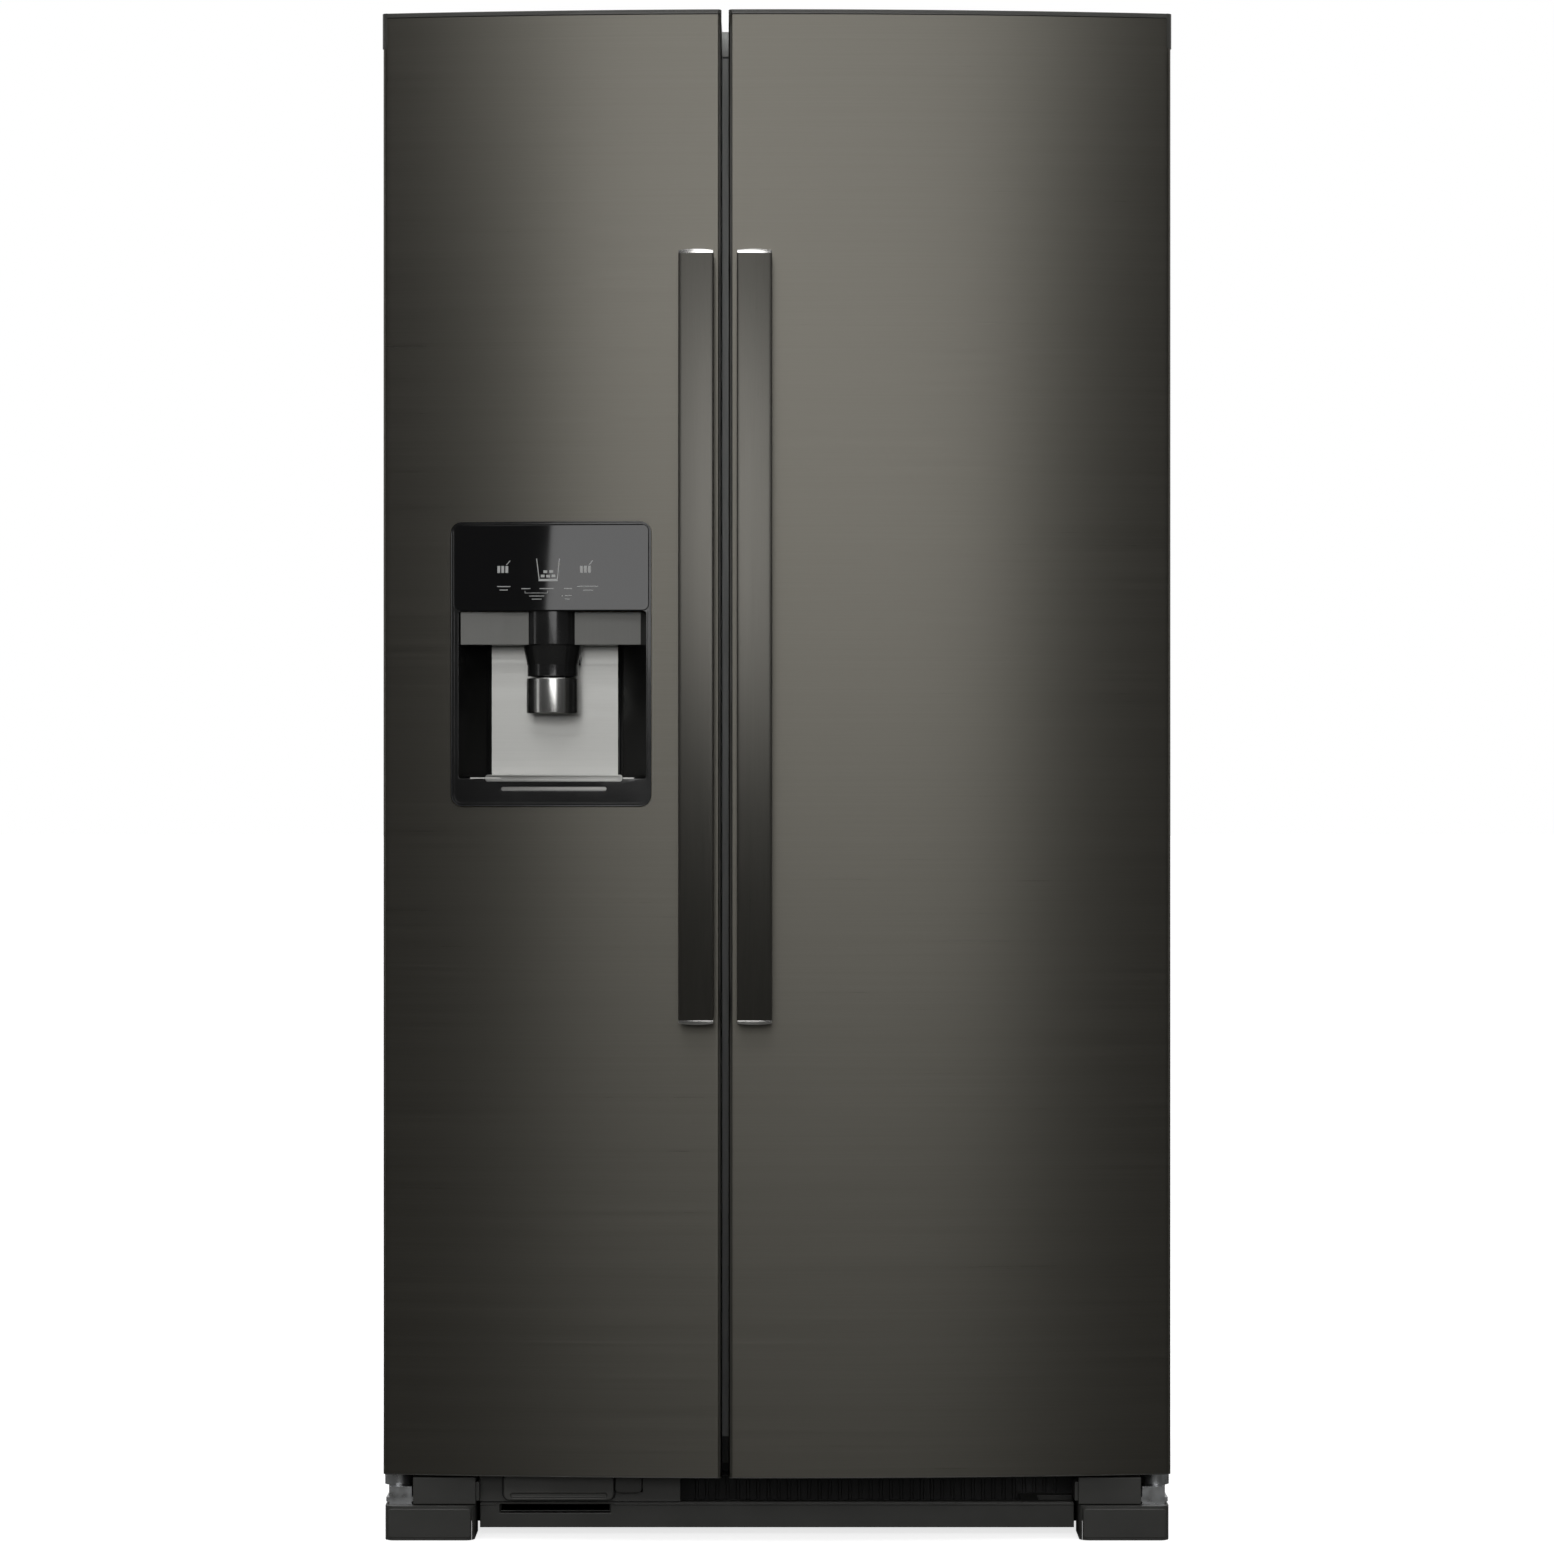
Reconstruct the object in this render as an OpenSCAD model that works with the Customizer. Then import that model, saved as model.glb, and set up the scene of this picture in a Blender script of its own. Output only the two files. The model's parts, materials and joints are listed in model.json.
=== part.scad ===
// Side by side refrigerator with a dispenser in the freezer door.
// Millimetres. X runs to the right, Y to the back, Z up. The origin lies on the floor,
// midway between the sides and midway between the handles' front and the back panel.

/* [Cabinet] */
// Width across the two doors with their end caps
overall_w = 909; // [905:1:913]
// Depth from the front of the handles to the back panel
overall_d = 860; // [856:1:868]
// Height of the cabinet's top sheet
cabinet_h = 1746; // [1744:1:1748]
// Half width of the cabinet's steel wrapper
cabinet_half_w = 452; // [451:0.5:453]
// Distance from the back panel to the front flange of the cabinet
cabinet_d = 712; // [711:0.5:713]
// Thickness of the wrapper and of the back panel
sheet_t = 1.2; // [0.8:0.1:1.2]
// Underside of the insulated deck
deck_z = 80; // [79:0.5:80]
// Left and right faces of the freezer space
freezer_x = [-390, -89.5];
// Left and right faces of the fridge space
fridge_x = [-29.5, 400];
// Floor and ceiling of both spaces
space_z = [137, 1688];
// Thickness of the plastic liners
liner_t = 2; // [1.5:0.1:2]

/* [Doors] */
// Centre of the slit between the doors
slit_x = -59.5; // [-61:0.5:-58]
// Width of the slit between the doors
slit_w = 8; // [7:0.5:10]
// Height of the front ridge along the door tops
door_top = 1757; // [1755:0.5:1758]
// Height of the underside of the doors
door_bottom = 75; // [74:0.5:76]
// Distance from the handles' front to the most forward line of the door faces
handle_reach = 58; // [54:1:62]
// Radius of the bow that runs across both doors
bow_r = 3450; // [3000:50:4000]
// Rounding of the vertical edges of the door skins
edge_r = 5; // [3:0.5:6]
// Thickness of the door skins
skin_t = 0.8; // [0.6:0.1:1]
// Distance of the hinge pins from the middle plane
pin_x = 438.5; // [438:0.5:439]
// Radius of the hinge pins
pin_r = 5; // [4:0.5:6]

/* [Handles] */
// Width of a handle
handle_w = 40; // [34:1:42]
// Lower and upper end of the handles
handle_z = [597, 1477];
// Middle of the freezer and of the fridge handle
handle_x = [-92, -25.5];
// Thickness of the grip plate
grip_t = 16; // [12:1:20]
// Height of the posts that stand on the door
post_h = 34; // [28:1:44]

/* [Dispenser] */
// Left and right edge of the bezel
bezel_x = [-375, -144];
// Lower and upper edge of the bezel
bezel_z = [844, 1171];
// Corner radius of the bezel
bezel_r = 13; // [8:1:16]
// Left and right edge of the recess at its mouth
recess_x = [-368, -150];
// Left and right edge of the back plate of the recess
recess_back_x = [-335, -182];
// Floor and ceiling of the recess
recess_z = [876, 1030];
// Lower edge of the touch panel
panel_z = 1069; // [1068:0.5:1070]
// Middle of the spout
spout_x = -259; // [-261:0.5:-257]
// Outer radius of the spout
spout_r = 36; // [34:0.5:37]

/* [Feet and base] */
// Distance of the levelling legs and rollers from the middle plane
foot_x = 400; // [398:1:402]
// Radius of the rollers
roller_r = 20; // [19:0.5:21]
// Lower and upper edge of the kick rail
rail_z = [9, 38];
// Half length of the kick rail
rail_half = 344; // [342:1:345]

/* [Shelves] */
// Heights of the glass shelves in the fridge space
glass_z = [520, 760, 1000, 1240, 1470];
// Heights of the shelves in the freezer space
freezer_shelf_z = [350, 590, 830, 1180];
// Front edge of the shelves
shelf_y = -165; // [-170:1:-160]

/* [Hidden] */
$fn = 48;

back_y = overall_d / 2;
front_y = back_y - cabinet_d;
face_y = handle_reach - overall_d / 2;
door_back_y = front_y - 12;
pin_y = door_back_y - 16;
skin_half = overall_w / 2 - 1;
freezer_door_x = [-skin_half, slit_x - slit_w / 2];
fridge_door_x = [slit_x + slit_w / 2, skin_half];
lip_h = 6;
deck_top = cabinet_h - 2;
door_z = [door_bottom + 1.5, deck_top - 4];
skin_z = [door_bottom + 1.5, door_top - lip_h];
step_y = 145;
step_z = 290;
back_wall_y = 368;
gap = 0.2;
bin_z = [560, 800, 1040, 1290];
freezer_bin_z = [400, 640, 1480];
wall = 2.4;
recess_y = -284;
band_y = -350;
spout_y = -325;
paddle_pivot = [recess_y - 7.5, 1015];
flap_pivot = [-292.5, 1073];
duct_half = 41;
chute_z = [1125, 1175];
lip_y = -150;
ice_shelf_y = -135;
crisper_x = [fridge_x[0] + 8, fridge_x[1] - 8];
basket_x = [freezer_x[0] + 6, freezer_x[1] - 6];
drawer_front_y = -150;
machine_y = 205;
lid_pivot = [-196, 1664];
auger_x = -240;
auger_z = 1248;
arm_pivot = [-60, 1560];
fan_x = -30;
fan_z = 120;
fan_y = 315;
air_fan = [-240, 304, 1010];
cartridge_x = -252;
cartridge_z = 57.5;
cartridge_r = 14;

// ---------------------------------------------------------------- helpers

// Box between its lowest and its highest corner
module slab(low, high) {
    translate(low) cube(high - low);
}

// The same piece on the right and on the left
module pair() {
    children();
    mirror([1, 0, 0]) children();
}

// Ring of four bars between two rectangles that face the Y axis
module frame_ring(x, z, bar, y) {
    difference() {
        slab([x[0], y[0], z[0]], [x[1], y[1], z[1]]);
        slab([x[0] + bar, y[0] - 1, z[0] + bar], [x[1] - bar, y[1] + 1, z[1] - bar]);
    }
}

// Open box: a floor and four walls
module tray(low, high, t) {
    difference() {
        slab(low, high);
        slab(low + [t, t, t], high + [-t, -t, t]);
    }
}

// Rounded rectangle that faces the Y axis
module rounded_plate(x, z, y, r) {
    slab([x[0] + r, y[0], z[0]], [x[1] - r, y[1], z[1]]);
    slab([x[0], y[0], z[0] + r], [x[1], y[1], z[1] - r]);
    for (cx = [x[0] + r, x[1] - r], cz = [z[0] + r, z[1] - r])
        translate([cx, y[0], cz]) rotate([-90, 0, 0]) cylinder(r = r, h = y[1] - y[0]);
}

// Shaft along X, centred on the given point
module shaft_x(at, r, length) {
    translate(at) rotate([0, 90, 0]) cylinder(r = r, h = length, center = true);
}

// Y of the bowed door face at a given X
function bow(x) = face_y + bow_r - sqrt(bow_r * bow_r - x * x);

// Points along the bow, shifted to the back by inset
function bow_points(x, inset, n = 20) =
    [for (i = [0:n]) let (px = x[0] + (x[1] - x[0]) * i / n) [px, bow(px) + inset]];

// Quarter circle between a side wall and the bow
function edge_points(cx, r, inset, from) =
    [for (a = [0:15:75]) [cx + r * cos(from + a), bow(cx) + inset + r + r * sin(from + a)]];

// Plan outline of a door, drawn in by inset on the front and the sides
function door_outline(x, inset, y_back) =
    let (r = edge_r - inset, a = x[0] + inset + r, b = x[1] - inset - r)
    concat(
        edge_points(a, r, inset, 180),
        bow_points([a, b], inset),
        [for (p = edge_points(b, r, inset, 285)) p],
        [[x[1] - inset, y_back], [x[0] + inset, y_back]]
    );

module door_prism(x, inset, y_back, z) {
    translate([0, 0, z[0]])
        linear_extrude(height = z[1] - z[0]) polygon(door_outline(x, inset, y_back));
}

// Band that follows the bow between two depths
module bow_band(x, depth, z) {
    outline = concat(
        bow_points(x, depth[0]),
        [for (p = bow_points([x[1], x[0]], depth[1])) p]
    );
    translate([0, 0, z[0]]) linear_extrude(height = z[1] - z[0]) polygon(outline);
}

// ---------------------------------------------------------------- cabinet

module cabinet_wrapper() {
    color("DimGray") {
        pair() slab([cabinet_half_w - sheet_t, front_y, 40], [cabinet_half_w, back_y, cabinet_h]);
        slab(
            [-cabinet_half_w, front_y, cabinet_h - sheet_t],
            [cabinet_half_w, back_y, cabinet_h]
        );
        frame_ring(
            [-cabinet_half_w, cabinet_half_w], [deck_z, cabinet_h], 30,
            [front_y, front_y + sheet_t]
        );
    }
}

module rear_panel() {
    color("Gray") slab(
        [-cabinet_half_w + sheet_t, back_y - sheet_t, 236],
        [cabinet_half_w - sheet_t, back_y, cabinet_h - sheet_t]
    );
}

module foam_insulation() {
    x_out = cabinet_half_w - sheet_t;
    x_in = [freezer_x[0] - liner_t, fridge_x[1] + liner_t];
    y = [front_y + sheet_t, back_y - sheet_t];
    z = [deck_z, space_z[0] - liner_t, space_z[1] + liner_t, cabinet_h - sheet_t];
    wall_y = back_wall_y + liner_t;
    mid = [freezer_x[1] + liner_t, fridge_x[0] - liner_t];
    color("Khaki") {
        for (x = [[-x_out, x_in[0]], [x_in[1], x_out]]) {
            slab([x[0], y[0], z[0]], [x[1], machine_y - 5, z[3]]);
            slab([x[0], machine_y - 5 + gap, 235], [x[1], y[1], z[3]]);
        }
        slab([x_in[0] + gap, y[0], z[2]], [x_in[1] - gap, y[1], z[3]]);
        slab([x_in[0] + gap, wall_y, step_z], [x_in[1] - gap, y[1], z[2] - gap]);
        slab([x_in[0] + gap, y[0], z[0]], [x_in[1] - gap, step_y - gap, z[1]]);
        slab([x_in[0] + gap, step_y, z[0]], [x_in[1] - gap, machine_y - 5, step_z - gap]);
        slab([x_in[0] + gap, machine_y - 5 + gap, 235], [x_in[1] - gap, y[1], step_z - gap]);
        slab([mid[0], y[0], z[1] + gap], [mid[1], step_y - gap, z[2] - gap]);
        slab([mid[0], step_y, step_z], [mid[1], wall_y - gap, z[2] - gap]);
    }
}

// One moulded liner: a flanged box with a step over the machine space
module liner(x) {
    t = liner_t;
    outer_x = x[0] < fridge_x[0] ? [-cabinet_half_w + 30, x[1] + t] : [x[0] - t, cabinet_half_w - 30];
    difference() {
        union() {
            difference() {
                slab(
                    [x[0] - t, front_y + sheet_t, space_z[0] - t],
                    [x[1] + t, back_wall_y + t, space_z[1] + t]
                );
                slab(
                    [x[0] - t - 1, step_y, space_z[0] - t - 1],
                    [x[1] + t + 1, back_wall_y + t + 1, step_z]
                );
            }
            slab(
                [outer_x[0], front_y, deck_z + 30],
                [outer_x[1], front_y + sheet_t, cabinet_h - 30]
            );
        }
        slab([x[0], front_y - 1, space_z[0]], [x[1], step_y - t, space_z[1]]);
        slab([x[0], step_y - t - 1, step_z + t], [x[1], back_wall_y, space_z[1]]);
    }
}

module freezer_liner() {
    color("WhiteSmoke") liner(freezer_x);
}

module fridge_liner() {
    color("WhiteSmoke") liner(fridge_x);
}

module mullion_cover() {
    color("Silver") slab(
        [freezer_x[1] + liner_t, front_y, deck_z + 30],
        [fridge_x[0] - liner_t, front_y + sheet_t, cabinet_h - 30]
    );
}

module base_frame() {
    color("DarkSlateGray") {
        difference() {
            union() {
                pair() slab([428, front_y + 2, 14], [cabinet_half_w - sheet_t, back_y - 6, deck_z - sheet_t]);
                slab([-428, front_y + 2, deck_z - sheet_t], [428, machine_y - 5, deck_z]);
                slab([-428, machine_y, 26], [428, 352, 28]);
                slab([-374, 352, 26], [374, back_y - 6, 28]);
                slab([-rail_half, -312, rail_z[0]], [rail_half, -297, rail_z[1]]);
                pair() slab([rail_half - 60, -297, rail_z[0]], [rail_half - 40, front_y + 40, rail_z[1]]);
                pair() slab([rail_half - 60, front_y + 20, rail_z[0]], [428, front_y + 40, rail_z[1]]);
            }
            slab([-321, -313, 26], [-193, -303, 36]);
        }
        for (y = [-215, 385], s = [-1, 1])
            shaft_x([s * (foot_x + 8), y, y < 0 ? roller_r + 2 : roller_r], 4, 40);
    }
}

module filter_housing() {
    x = [-rail_half, -112];
    z = [rail_z[1] + 2, 73.5];
    y = [-318, -308];
    color("Gray") difference() {
        union() {
            slab([x[0], y[0], z[0]], [x[1], y[1], z[1]]);
            translate([cartridge_x, y[1], cartridge_z]) rotate([-90, 0, 0])
                cylinder(r = cartridge_r + 3, h = 265);
            slab([cartridge_x - 26, front_y + 3, 70], [cartridge_x + 26, -60, deck_z - sheet_t]);
        }
        translate([cartridge_x, y[0] - 1, cartridge_z]) rotate([-90, 0, 0])
            cylinder(r = cartridge_r + 0.5, h = 270);
        slab([-316, y[0] - 1, 50.5], [-188, y[0] + 5, z[1] + 1]);
        slab([-187.5, y[0] - 1, 51], [-155.5, y[1] + 1, 71.5]);
    }
}

// Vent slots in the rear machine cover stand in two blocks
module machine_cover() {
    color("DimGray") difference() {
        slab([-442, back_y - 4, 30], [442, back_y - 2, 234]);
        for (block = [-330, 60], i = [0:11])
            slab([block + i * 22, back_y - 5, 70], [block + i * 22 + 10, back_y - 1, 190]);
        translate([330, back_y - 5, 110]) rotate([-90, 0, 0]) cylinder(r = 9, h = 4);
        slab([354, back_y - 5, 66], [443, back_y - 1, 154]);
    }
}

module compressor() {
    color("Black") translate([-300, 310, 0]) {
        translate([0, 0, 46]) cylinder(r = 78, h = 96);
        translate([0, 0, 142]) intersection() {
            sphere(r = 78);
            cylinder(r = 79, h = 60);
        }
        translate([0, 0, 32]) cylinder(r = 66, h = 14);
        for (x = [-70, 70], y = [-62, 62]) {
            translate([x, y, 28]) cylinder(r = 14, h = 12);
            translate([x, y, 40]) cylinder(r = 17, h = 4);
        }
        slab([-84, -76, 40], [84, 76, 43]);
        slab([76, -26, 70], [100, 26, 130]);
    }
}

// Folded tube condenser: rows of tube with cross wires
module condenser() {
    color("Black") {
        for (row = [0:3], level = [0:5])
            shaft_x([150, 250 + row * 30, 50 + level * 28], 3, 200);
        for (row = [0:3], i = [0:9])
            slab([60 + i * 20, 249 + row * 30, 40], [61.5 + i * 20, 251 + row * 30, 200]);
        for (x = [48, 250]) slab([x, 240, 28], [x + 2, 350, 206]);
    }
}

module drain_pan() {
    color("DarkGray") {
        tray([-95, -240, 18], [335, 120, 62], 2.5);
        for (x = [-95, 331]) slab([x, -240, 62], [x + 4, 120, deck_z - sheet_t]);
    }
}

// Finned evaporator behind its cover in the freezer
module evaporator() {
    color("Silver") {
        for (i = [0:18])
            slab([-372 + i * 15, 306, 530], [-371.2 + i * 15, 358, 900]);
        for (level = [0:6], y = [320, 344])
            shaft_x([-236, y, 560 + level * 52], 4, 282);
    }
}

// Vented wall in front of the evaporator, and the air tower of the fridge space
module air_covers() {
    color("White") {
        difference() {
            slab([freezer_x[0] + 1, 290, step_z + 4], [freezer_x[1] - 1, 294, space_z[1] - 1]);
            for (i = [0:9])
                slab([-350 + i * 22, 289, 320], [-338 + i * 22, 295, 440]);
            for (i = [0:6])
                slab([-300, 289, 958 + i * 16], [-180, 295, 966 + i * 16]);
        }
        difference() {
            slab([110, 352, 560], [262, back_wall_y, 1620]);
            for (z = [640, 880, 1120, 1350, 1540], i = [0:3])
                slab([126, 350, z + i * 14], [246, 360, z + i * 14 + 6]);
        }
    }
}

// Upper leaves with their pins, lower brackets with pins and closing cups
module door_hinges() {
    color("LightSteelBlue") pair() {
        difference() {
            union() {
                slab([412, front_y + 4, cabinet_h], [447, -180, cabinet_h + 4]);
                slab([pin_x - 8, pin_y, cabinet_h], [pin_x + 8, front_y + 5, cabinet_h + 4]);
                translate([pin_x, pin_y, cabinet_h]) cylinder(r = 8, h = 4);
            }
            for (y = [-262, -228, -194]) translate([424, y, cabinet_h - 1]) cylinder(r = 3.1, h = 6);
        }
        translate([pin_x, pin_y, cabinet_h - 26]) cylinder(r = pin_r, h = 26);
        difference() {
            union() {
                slab([356, -336, 43], [cabinet_half_w - 1.5, front_y + 1.9, 48]);
                slab([421, -336, 40], [447, -326, 60]);
                translate([pin_x, pin_y, 48]) cylinder(r = 10, h = 12);
                translate([pin_x, pin_y, 60]) cylinder(r = 15.5, h = door_bottom - 60.4);
                translate([pin_x, pin_y, 60]) cylinder(r = pin_r, h = 34);
            }
            translate([foot_x, -302, 40]) cylinder(r = 6.2, h = 10);
            for (x = [366, 384]) translate([x, -292, 40]) cylinder(r = 3.1, h = 10);
        }
    }
}

module hinge_covers() {
    z = cabinet_h + 4;
    color("DimGray") pair() difference() {
        union() {
            slab([402, front_y + 1, cabinet_h], [450, -172, z + 16]);
            slab([pin_x - 9.5, pin_y, z + gap], [pin_x + 9.5, front_y + 2, z + 8]);
            translate([pin_x, pin_y, z + gap]) cylinder(r = 9.5, h = 8 - gap);
        }
        slab([404, front_y + 3, cabinet_h - 1], [448, -174, z + 14]);
        slab([pin_x - 8.2, front_y - 1, cabinet_h - 1], [pin_x + 8.2, front_y + 4, z + gap]);
    }
}

// Rounded toe covers on the floor and the boxes over the hinge brackets
module leg_covers() {
    r = 12;
    x = [348, 451];
    color("DimGray") pair() {
        difference() {
            union() {
                slab([x[0], -352 + r, 0.6], [x[1], -286, 40]);
                slab([x[0] + r, -352, 0.6], [x[1] - r, -340, 40]);
                for (cx = [x[0] + r, x[1] - r])
                    translate([cx, -352 + r, 0.6]) cylinder(r = r, h = 39.4);
            }
            slab([x[0] + 3, -349, -1], [x[1] - 3, -280, 37]);
            translate([foot_x, -302, 30]) cylinder(r = 9, h = 20);
        }
        difference() {
            slab([347, -345, 41], [419, -286, 72]);
            slab([349, -343, 40], [421, -285, 70]);
        }
    }
}

module levelling_legs() {
    color("Silver") pair() translate([foot_x, -302, 0]) {
        cylinder(r = 17, h = 4);
        translate([0, 0, 4]) cylinder(r1 = 17, r2 = 11, h = 6);
        translate([0, 0, 10]) cylinder(r = 6, h = 54);
    }
}

// Inlet valve with its threaded stub towards the back
module water_valve() {
    color("White") {
        slab([382, 360, 90], [418, 396, 130]);
        translate([400, 396, 110]) rotate([-90, 0, 0]) cylinder(r = 17, h = 6, $fn = 60);
        difference() {
            translate([400, 402, 110]) rotate([-90, 0, 0]) cylinder(r = 13.2, h = 26);
            translate([400, 403, 110]) rotate([-90, 0, 0]) cylinder(r = 8, h = 26);
        }
        slab([386, 366, 130], [400, 390, 152]);
        slab([378, 330, 28], [424, 333, 87]);
        slab([378, 330, 84], [424, 360, 87]);
        slab([378, 354, 84], [424, 360, 126]);
    }
}

module cord_inlet() {
    color("Black") difference() {
        translate([330, back_y - 6, 110]) rotate([-90, 0, 0]) {
            cylinder(r = 12, h = 2);
            cylinder(r = 9, h = 5);
        }
        translate([330, back_y - 7, 110]) rotate([-90, 0, 0]) cylinder(r = 4.5, h = 8);
    }
}

// ---------------------------------------------------------------- inside

// Plastic frames around the glass, and the slatted shelves of the freezer
module shelves() {
    fridge = [fridge_x[0] + 3, fridge_x[1] - 3];
    freezer = [freezer_x[0] + 4, freezer_x[1] - 4];
    color("White") {
        for (z = glass_z) difference() {
            slab([fridge[0], shelf_y, z], [fridge[1], 344, z + 14]);
            slab([fridge[0] + 22, shelf_y + 22, z - 1], [fridge[1] - 22, 322, z + 15]);
            slab([fridge[0] + 10, shelf_y + 10, z + 8], [fridge[1] - 10, 334, z + 12]);
        }
        for (z = freezer_shelf_z) difference() {
            slab([freezer[0], z > 1000 ? ice_shelf_y : shelf_y, z], [freezer[1], 284, z + 10]);
            for (i = [0:8]) slab(
                [freezer[0] + 18 + i * 29.5, ice_shelf_y + 24, z - 1],
                [freezer[0] + 38 + i * 29.5, 268, z + 11]
            );
        }
    }
}

module shelf_glass() {
    x = [fridge_x[0] + 13.5, fridge_x[1] - 13.5];
    color("LightCyan", 0.4) for (z = glass_z)
        slab([x[0], shelf_y + 10.5, z + 8], [x[1], 333.5, z + 12]);
}

// Ice mould with its drive box at the top of the freezer
module ice_maker() {
    color("WhiteSmoke") {
        slab([-372, -80, 1545], [-325, 220, 1640]);
        difference() {
            slab([-323, -40, 1560], [-205, 220, 1620]);
            for (i = [0:6]) slab([-315, -30 + i * 36, 1580], [-213, -2 + i * 36, 1621]);
        }
        difference() {
            slab([-323, -70, 1552], [-205, -42, 1630]);
            shaft_x([-205, arm_pivot[0], arm_pivot[1]], 2.06, 26);
        }
        slab([-372, -80, 1640], [-205, 220, 1650]);
        for (y = [-60, 180]) slab([-360, y, 1650], [-220, y + 16, space_z[1]]);
    }
}

// Motors of the two fans, each on its bracket with its shaft
module fan_motors() {
    color("DimGray") {
        shaft_x([fan_x - 32, fan_y, fan_z], 22, 34);
        shaft_x([fan_x - 2, fan_y, fan_z], 2.5, 32);
        slab([fan_x - 48, fan_y - 30, 28], [fan_x - 44, fan_y + 30, fan_z]);
        translate([air_fan[0], air_fan[1] + 26, air_fan[2]]) rotate([-90, 0, 0])
            cylinder(r = 18, h = 30);
        translate(air_fan) rotate([-90, 0, 0]) cylinder(r = 2.5, h = 28);
        slab([air_fan[0] - 60, 364, air_fan[2] - 10], [air_fan[0] + 60, 366, air_fan[2] + 10]);
    }
}

// One screw head with a short shank, head upwards
module screw(head_r, head_h, shank_r, shank_h) {
    cylinder(r = head_r, h = head_h, $fn = 24);
    translate([0, 0, -shank_h]) cylinder(r = shank_r, h = shank_h, $fn = 24);
}

module screws() {
    color("Gainsboro") {
        pair() {
            for (y = [-262, -228, -194]) translate([424, y, cabinet_h + 4]) screw(6, 3, 3, 4);
            for (x = [366, 384]) translate([x, -292, 48]) screw(6, 3, 3, 5);
        }
        for (x = [-436, -150, 150, 436], z = [40, 224])
            translate([x, back_y - 2, z]) rotate([-90, 0, 0]) cylinder(r = 4.5, h = 1.8, $fn = 24);
    }
}

// Fan with a hub and tilted blades, its axis along Z at the origin
module fan(hub_r, tip_r, depth, blades) {
    difference() {
        union() {
            cylinder(r = hub_r, h = depth);
            for (i = [0:blades - 1]) rotate([0, 0, i * 360 / blades])
                translate([hub_r - 2, 0, depth / 2]) rotate([35, 0, 0])
                    translate([0, -depth * 0.75, -1]) cube([tip_r - hub_r, depth * 1.5, 2]);
        }
        translate([0, 0, -1]) cylinder(r = 2.55, h = depth + 2);
    }
}

module condenser_fan() {
    color("Black") translate([fan_x - 12, fan_y, fan_z]) rotate([0, 90, 0]) fan(18, 70, 24, 5);
}

module evaporator_fan() {
    color("White") translate(air_fan) rotate([-90, 0, 0]) fan(16, 52, 20, 5);
}

module roller_pair(y, z) {
    color("DimGray") pair() difference() {
        translate([foot_x, y, z]) rotate([0, 90, 0]) union() {
            cylinder(r = roller_r, h = 20, center = true);
            cylinder(r = 9, h = 24, center = true);
        }
        shaft_x([foot_x, y, z], 4.06, 30);
    }
}

module front_rollers() {
    roller_pair(-215, roller_r + 2);
}

module rear_rollers() {
    roller_pair(385, roller_r);
}

// Drawer with a thicker front and a grip lip
module drawer(x, z, y_back) {
    tray([x[0], drawer_front_y + 8, z[0]], [x[1], y_back, z[1] - 8], wall);
    slab([x[0] - 2, drawer_front_y, z[0]], [x[1] + 2, drawer_front_y + 7.9, z[1]]);
    slab([x[0] - 2, drawer_front_y - 8, z[1] - 12], [x[1] + 2, drawer_front_y, z[1] - 4]);
    slab([x[0], drawer_front_y + 7, z[0]], [x[1], drawer_front_y + 9, z[0] + 20]);
}

module crisper_upper() {
    color("AliceBlue", 0.6) drawer(crisper_x, [338, 510], 338);
}

module crisper_lower() {
    color("AliceBlue", 0.6) drawer(crisper_x, [139, 328], 136);
}

module freezer_basket() {
    color("WhiteSmoke") drawer(basket_x, [139, 330], 136);
}

// Ice bin, open at the top, with its outlet in the floor at the front
module ice_bin() {
    x = [-382, -98];
    color("AliceBlue") difference() {
        tray([x[0], -192, 1206], [x[1], 190, 1400], 3);
        slab([spout_x - 30, -186, 1200], [spout_x + 36, -150, 1212]);
        translate([auger_x, 186, auger_z]) rotate([-90, 0, 0]) cylinder(r = 6.06, h = 6);
    }
}

module ice_auger() {
    color("Silver") {
        translate([auger_x, -150, auger_z]) rotate([-90, 0, 0]) cylinder(r = 6, h = 345);
        for (i = [0:9])
            translate([auger_x, -140 + i * 32, auger_z]) rotate([0, i * 40, 0])
                slab([-32, 0, -4], [32, 10, 4]);
    }
}

// Wire arm of the ice maker that feels how full the bin is
module shutoff_arm() {
    color("Silver") {
        shaft_x([-197, arm_pivot[0], arm_pivot[1]], 2, 40);
        translate([-179, arm_pivot[0], arm_pivot[1] - 130]) cylinder(r = 2, h = 130);
        translate([-179, arm_pivot[0], arm_pivot[1] - 130]) sphere(r = 2.4);
        shaft_x([-230, arm_pivot[0], arm_pivot[1] - 130], 2, 102);
    }
}

module water_filter() {
    color("WhiteSmoke") {
        translate([cartridge_x, -315, cartridge_z]) rotate([-90, 0, 0]) cylinder(r = cartridge_r, h = 250);
        difference() {
            rounded_plate([-315.5, -188.5], [51, 82], [-332, -314.5], 9);
            slab([-330, -340, 73], [-180, -300, 90]);
        }
    }
}

module filter_button() {
    color("DimGray") slab([-187, -330, 51.5], [-156, -309, 71]);
}

// ---------------------------------------------------------------- doors

// Space above the door's top deck, behind its front ridge
module above_deck(x, inset) {
    outline = concat(
        bow_points([x[0] - 2, x[1] + 2], inset),
        [[x[1] + 2, door_back_y + 2], [x[0] - 2, door_back_y + 2]]
    );
    translate([0, 0, deck_top]) linear_extrude(height = 30) polygon(outline);
}

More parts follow.
